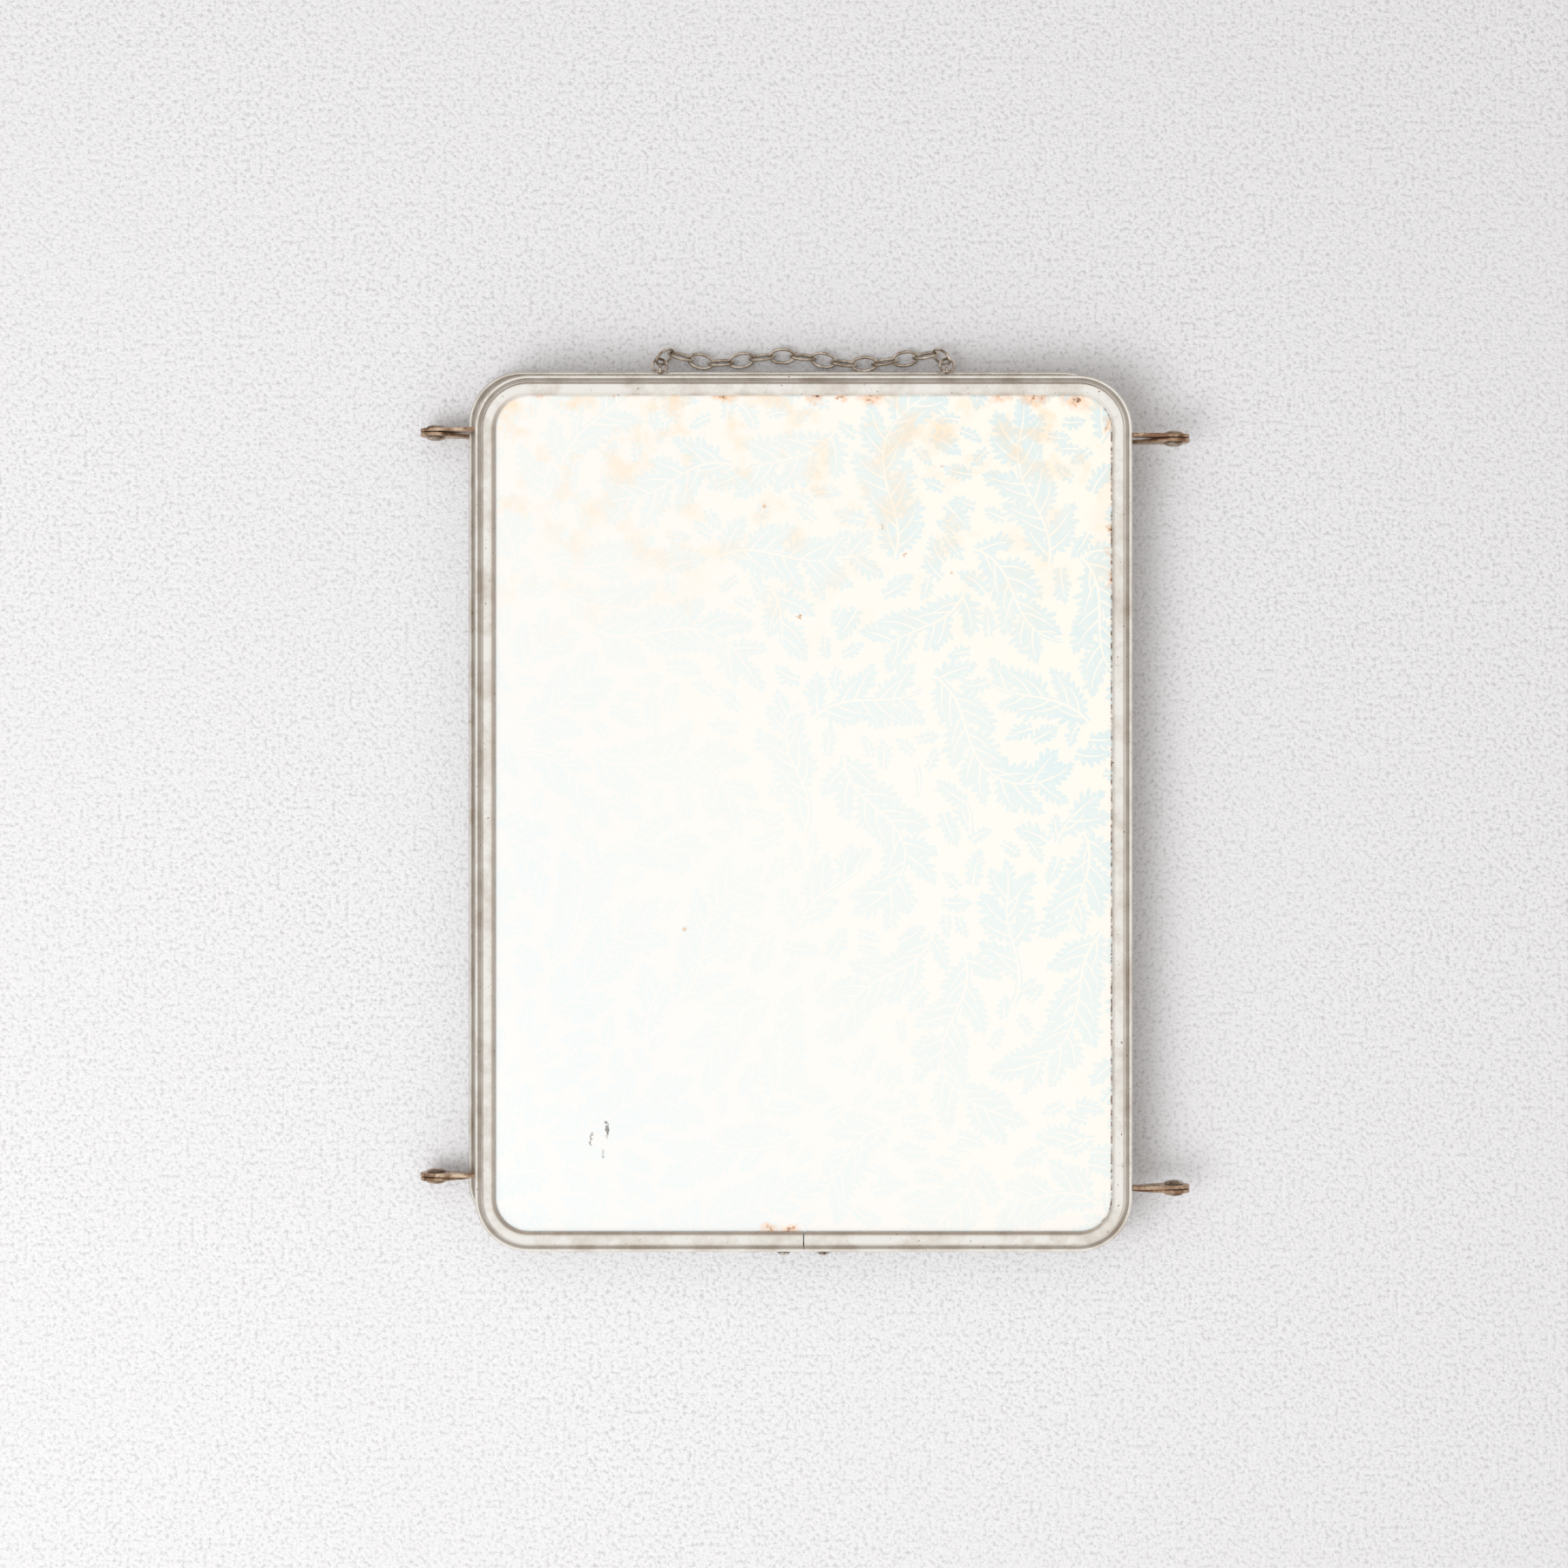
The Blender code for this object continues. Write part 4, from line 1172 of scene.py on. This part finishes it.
head = dome(GRIP, RIVET_HEAD_HEIGHT, RIVET_HEAD_RADIUS)
outline = [(radius, -height) for radius, height in reversed(head)]
outline += [(RIVET_RADIUS, -GRIP), (RIVET_RADIUS, GRIP)] + head
plain_rivet = turned("plain_rivet", outline, 40)
shade(plain_rivet)
for side in ("left", "right"):
    for end in ("lower", "upper"):
        node = f"pivot_rivet_{side}_{end}"
        place = Matrix.Translation(middle_of(node)) @ LIE_ALONG_Y
        piece = copied(plain_rivet, f"domed_rivet_{side}_{end}", place)
        settled(piece, "centre_leaf", node, worn_rivet)
drop(plain_rivet)

# %% [markdown]
# ## The hanging chain
# The chain is nickelled wire, bent into ovals and closed with a weld on one long side, and hung
# from two wire eyes riveted through the frame. It is plated like the frame, but more tarnished,
# because it was handled more and polished less.

# %% Tarnished nickel wire
nickel_wire = worn_metal(
    "tarnished_nickel_wire",
    cloud={"Scale": 260, "Detail": 5, "Roughness": 0.7},
    dull={"From Min": 0.38, "From Max": 0.62},
    colours=("#E2D9CC", "#A08F7D"),
    gloss={"To Min": 0.12, "To Max": 0.32},
    dents=0.05 * MM,
)

# %% The eyes that the chain hangs from
RING_RADIUS = 1.95 * MM
RING_WIRE = 0.5 * MM
TAIL_RADIUS = 1.3 * MM
TAIL_THICKNESS = 0.6 * MM

wall_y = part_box("centre_frame")[1].y
for side in ("left", "right"):
    node = f"chain_eyelet_{side}"
    low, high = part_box(node)
    centre = (low + high) / 2
    centre.y = high.y - RING_RADIUS - RING_WIRE
    deselect()
    bpy.ops.mesh.primitive_torus_add(
        major_radius=RING_RADIUS, minor_radius=RING_WIRE, major_segments=40, minor_segments=16
    )
    ring = named(f"wire_eye_{side}")
    moved(ring, Matrix.Translation(centre) @ Matrix.Rotation(math.radians(90), 4, "Y"))
    tail_end = low.y + TAIL_THICKNESS
    outer_end = wall_y + CLEARANCE + RING_WIRE
    outline = [(TAIL_RADIUS * 0.6, low.y), (TAIL_RADIUS, low.y + TAIL_THICKNESS / 3)]
    outline += [(TAIL_RADIUS, tail_end), (EYELET_SHANK_RADIUS, tail_end)]
    outline += [(EYELET_SHANK_RADIUS, outer_end - 0.15 * MM)]
    outline += [(EYELET_SHANK_RADIUS * 0.8, outer_end)]
    shank = turned("shank", outline, 24)
    stand = Matrix.Rotation(math.radians(-90), 4, "X")
    moved(shank, Matrix.Translation((centre.x, 0, centre.z)) @ stand)
    combine(ring, shank, "UNION")
    shade(ring, 45)
    settled(ring, "centre_leaf", node, nickel_wire)
    print(ring.name, "faces:", len(ring.data.polygons))

# %% [markdown]
# A circle stretched into an oval is the wire's middle line. Made a curve, it takes a round
# section of even thickness, which a stretched torus would not keep, and it is then made a mesh
# again. The middle of one long side is swollen into the weld. The copies take their place from
# the measured links: a link's points spread most along it, less across it and least through it,
# and those three directions are its axes.

# %% Make a link and hang it seventeen times
LINK_LENGTH = 9.8 * MM
LINK_WIDTH = 6 * MM
LINK_WIRE = 0.53 * MM
WELD_SWELLING = 1.12

deselect()
bpy.ops.mesh.primitive_circle_add(vertices=40, radius=1, fill_type="NOTHING")
plain_link = named("plain_link")
edit(plain_link)
oval = (LINK_LENGTH / 2 - LINK_WIRE, LINK_WIDTH / 2 - LINK_WIRE, 1)
bpy.ops.transform.resize(value=oval, center_override=(0, 0, 0))
deselect()
plain_link.select_set(True)
bpy.ops.object.convert(target="CURVE")
plain_link = bpy.context.object
plain_link.data.bevel_depth = LINK_WIRE
plain_link.data.bevel_resolution = 5
bpy.ops.object.convert(target="MESH")
plain_link = named("plain_link")
edit(plain_link)
pick(plain_link, lambda co: abs(co.x) < 0.4 * MM and co.y > 0)
swollen = (1, WELD_SWELLING, WELD_SWELLING)
bpy.ops.transform.resize(value=swollen, center_override=(0, oval[1], 0))
bpy.ops.mesh.select_all(action="SELECT")
bpy.ops.mesh.remove_doubles(threshold=0.001 * MM)
bpy.ops.mesh.normals_make_consistent(inside=False)
deselect()
shade(plain_link, 60)
print("faces on a link:", len(plain_link.data.polygons))


def axes_of(node):
    """A place and turn from a solid's own points: long axis, then width, then thickness."""
    points = np.array([vert.co for vert in frame["nodes"][node].data.vertices])
    centre = points.mean(0)
    _, axes = np.linalg.eigh(np.cov((points - centre).T))
    along, across = axes[:, 2], axes[:, 1]
    turn = Matrix((along, across, np.cross(along, across))).transposed().to_4x4()
    return Matrix.Translation(centre) @ turn


link_nodes = sorted(node for node in frame["nodes"] if node.startswith("chain_link_"))
for node in link_nodes:
    piece = copied(plain_link, node.replace("chain_link", "welded_link"), axes_of(node))
    settled(piece, "hanging_chain", node, nickel_wire)
drop(plain_link)
print("links:", len(link_nodes))

# %% [markdown]
# ## Glass, card and plate
# The mirrors, the card behind them and the joining plates have simple shapes that are right as
# measured, so those solids stay and only get a finish. The mirror is silvered glass, which is
# nearly a perfect mirror with a cold, faintly green tint. Damp has crept in at the edges as brown
# freckles.

# %% Silvered glass
def coat_solid(node, material):
    """Give a measured solid its finish."""
    materials = frame["nodes"][node].data.materials
    materials.clear()
    materials.append(material)


for leaf in LEAF_BODIES:
    material, tree, shader, place = new_finish(f"silvered_glass_{leaf}", Metallic=1)
    offset = tuple(-middle_of(f"{leaf}_mirror_glass"))
    place = add(tree, "Mapping", {"Vector": place, "Location": offset})
    folded = add(tree, "VectorMath", {0: place}, operation="ABSOLUTE")
    to_edge = add(tree, "VectorMath", {0: rim, 1: folded}, operation="SUBTRACT")
    edge_x = add(tree, "SeparateXYZ", {0: to_edge}, out=0)
    edge_y = add(tree, "SeparateXYZ", {0: to_edge}, out=1)
    to_edge = add(tree, "Math", {0: edge_x, 1: edge_y}, operation="MINIMUM")
    creep = {"Value": to_edge, "From Min": -5 * MM, "From Max": -RIM_RADIUS, "To Max": 0.26}
    creep = add(tree, "MapRange", creep)
    freckles = {"Vector": place, "Scale": 260, "Detail": 5, "Roughness": 0.7}
    freckles = add(tree, "TexNoise", freckles)
    spots = add(tree, "Math", {0: freckles, 1: creep}, operation="ADD")
    spots = {"Value": spots, "From Min": 0.72, "From Max": 0.84, "To Max": 0.8}
    spots = add(tree, "MapRange", spots)
    colour = {0: spots, 6: linear("#ECF0EE"), 7: linear("#6E655A")}
    colour = add(tree, "Mix", colour, **BLEND)
    gloss = add(tree, "MapRange", {"Value": spots, "To Min": 0.015, "To Max": 0.3})
    haze = add(tree, "TexNoise", {"Vector": place, "Scale": 14, "Detail": 1})
    bump = add(tree, "Bump", {"Height": haze, "Strength": 0.03, "Distance": 0.2 * MM})
    feed(tree, shader, {"Base Color": colour, "Roughness": gloss, "Normal": bump})
    coat_solid(f"{leaf}_mirror_glass", material)

# %% [markdown]
# Greyboard is pulped paper, pressed flat: matt, grey-brown, with darker and lighter fibres.

# %% Greyboard
material, tree, shader, place = new_finish("pressed_greyboard", Roughness=0.92)
fibres = add(tree, "TexNoise", {"Vector": place, "Scale": 700, "Detail": 4, "Distortion": 1.5})
colour = {0: fibres, 6: linear("#8C8073"), 7: linear("#B5A998")}
colour = add(tree, "Mix", colour, **BLEND)
bump = add(tree, "Bump", {"Height": fibres, "Strength": 0.4, "Distance": 0.1 * MM})
feed(tree, shader, {"Base Color": colour, "Normal": bump})
for leaf in LEAF_BODIES:
    coat_solid(f"{leaf}_backing_board", material)
    coat_solid(f"{leaf}_joining_plate", tarnished_brass)
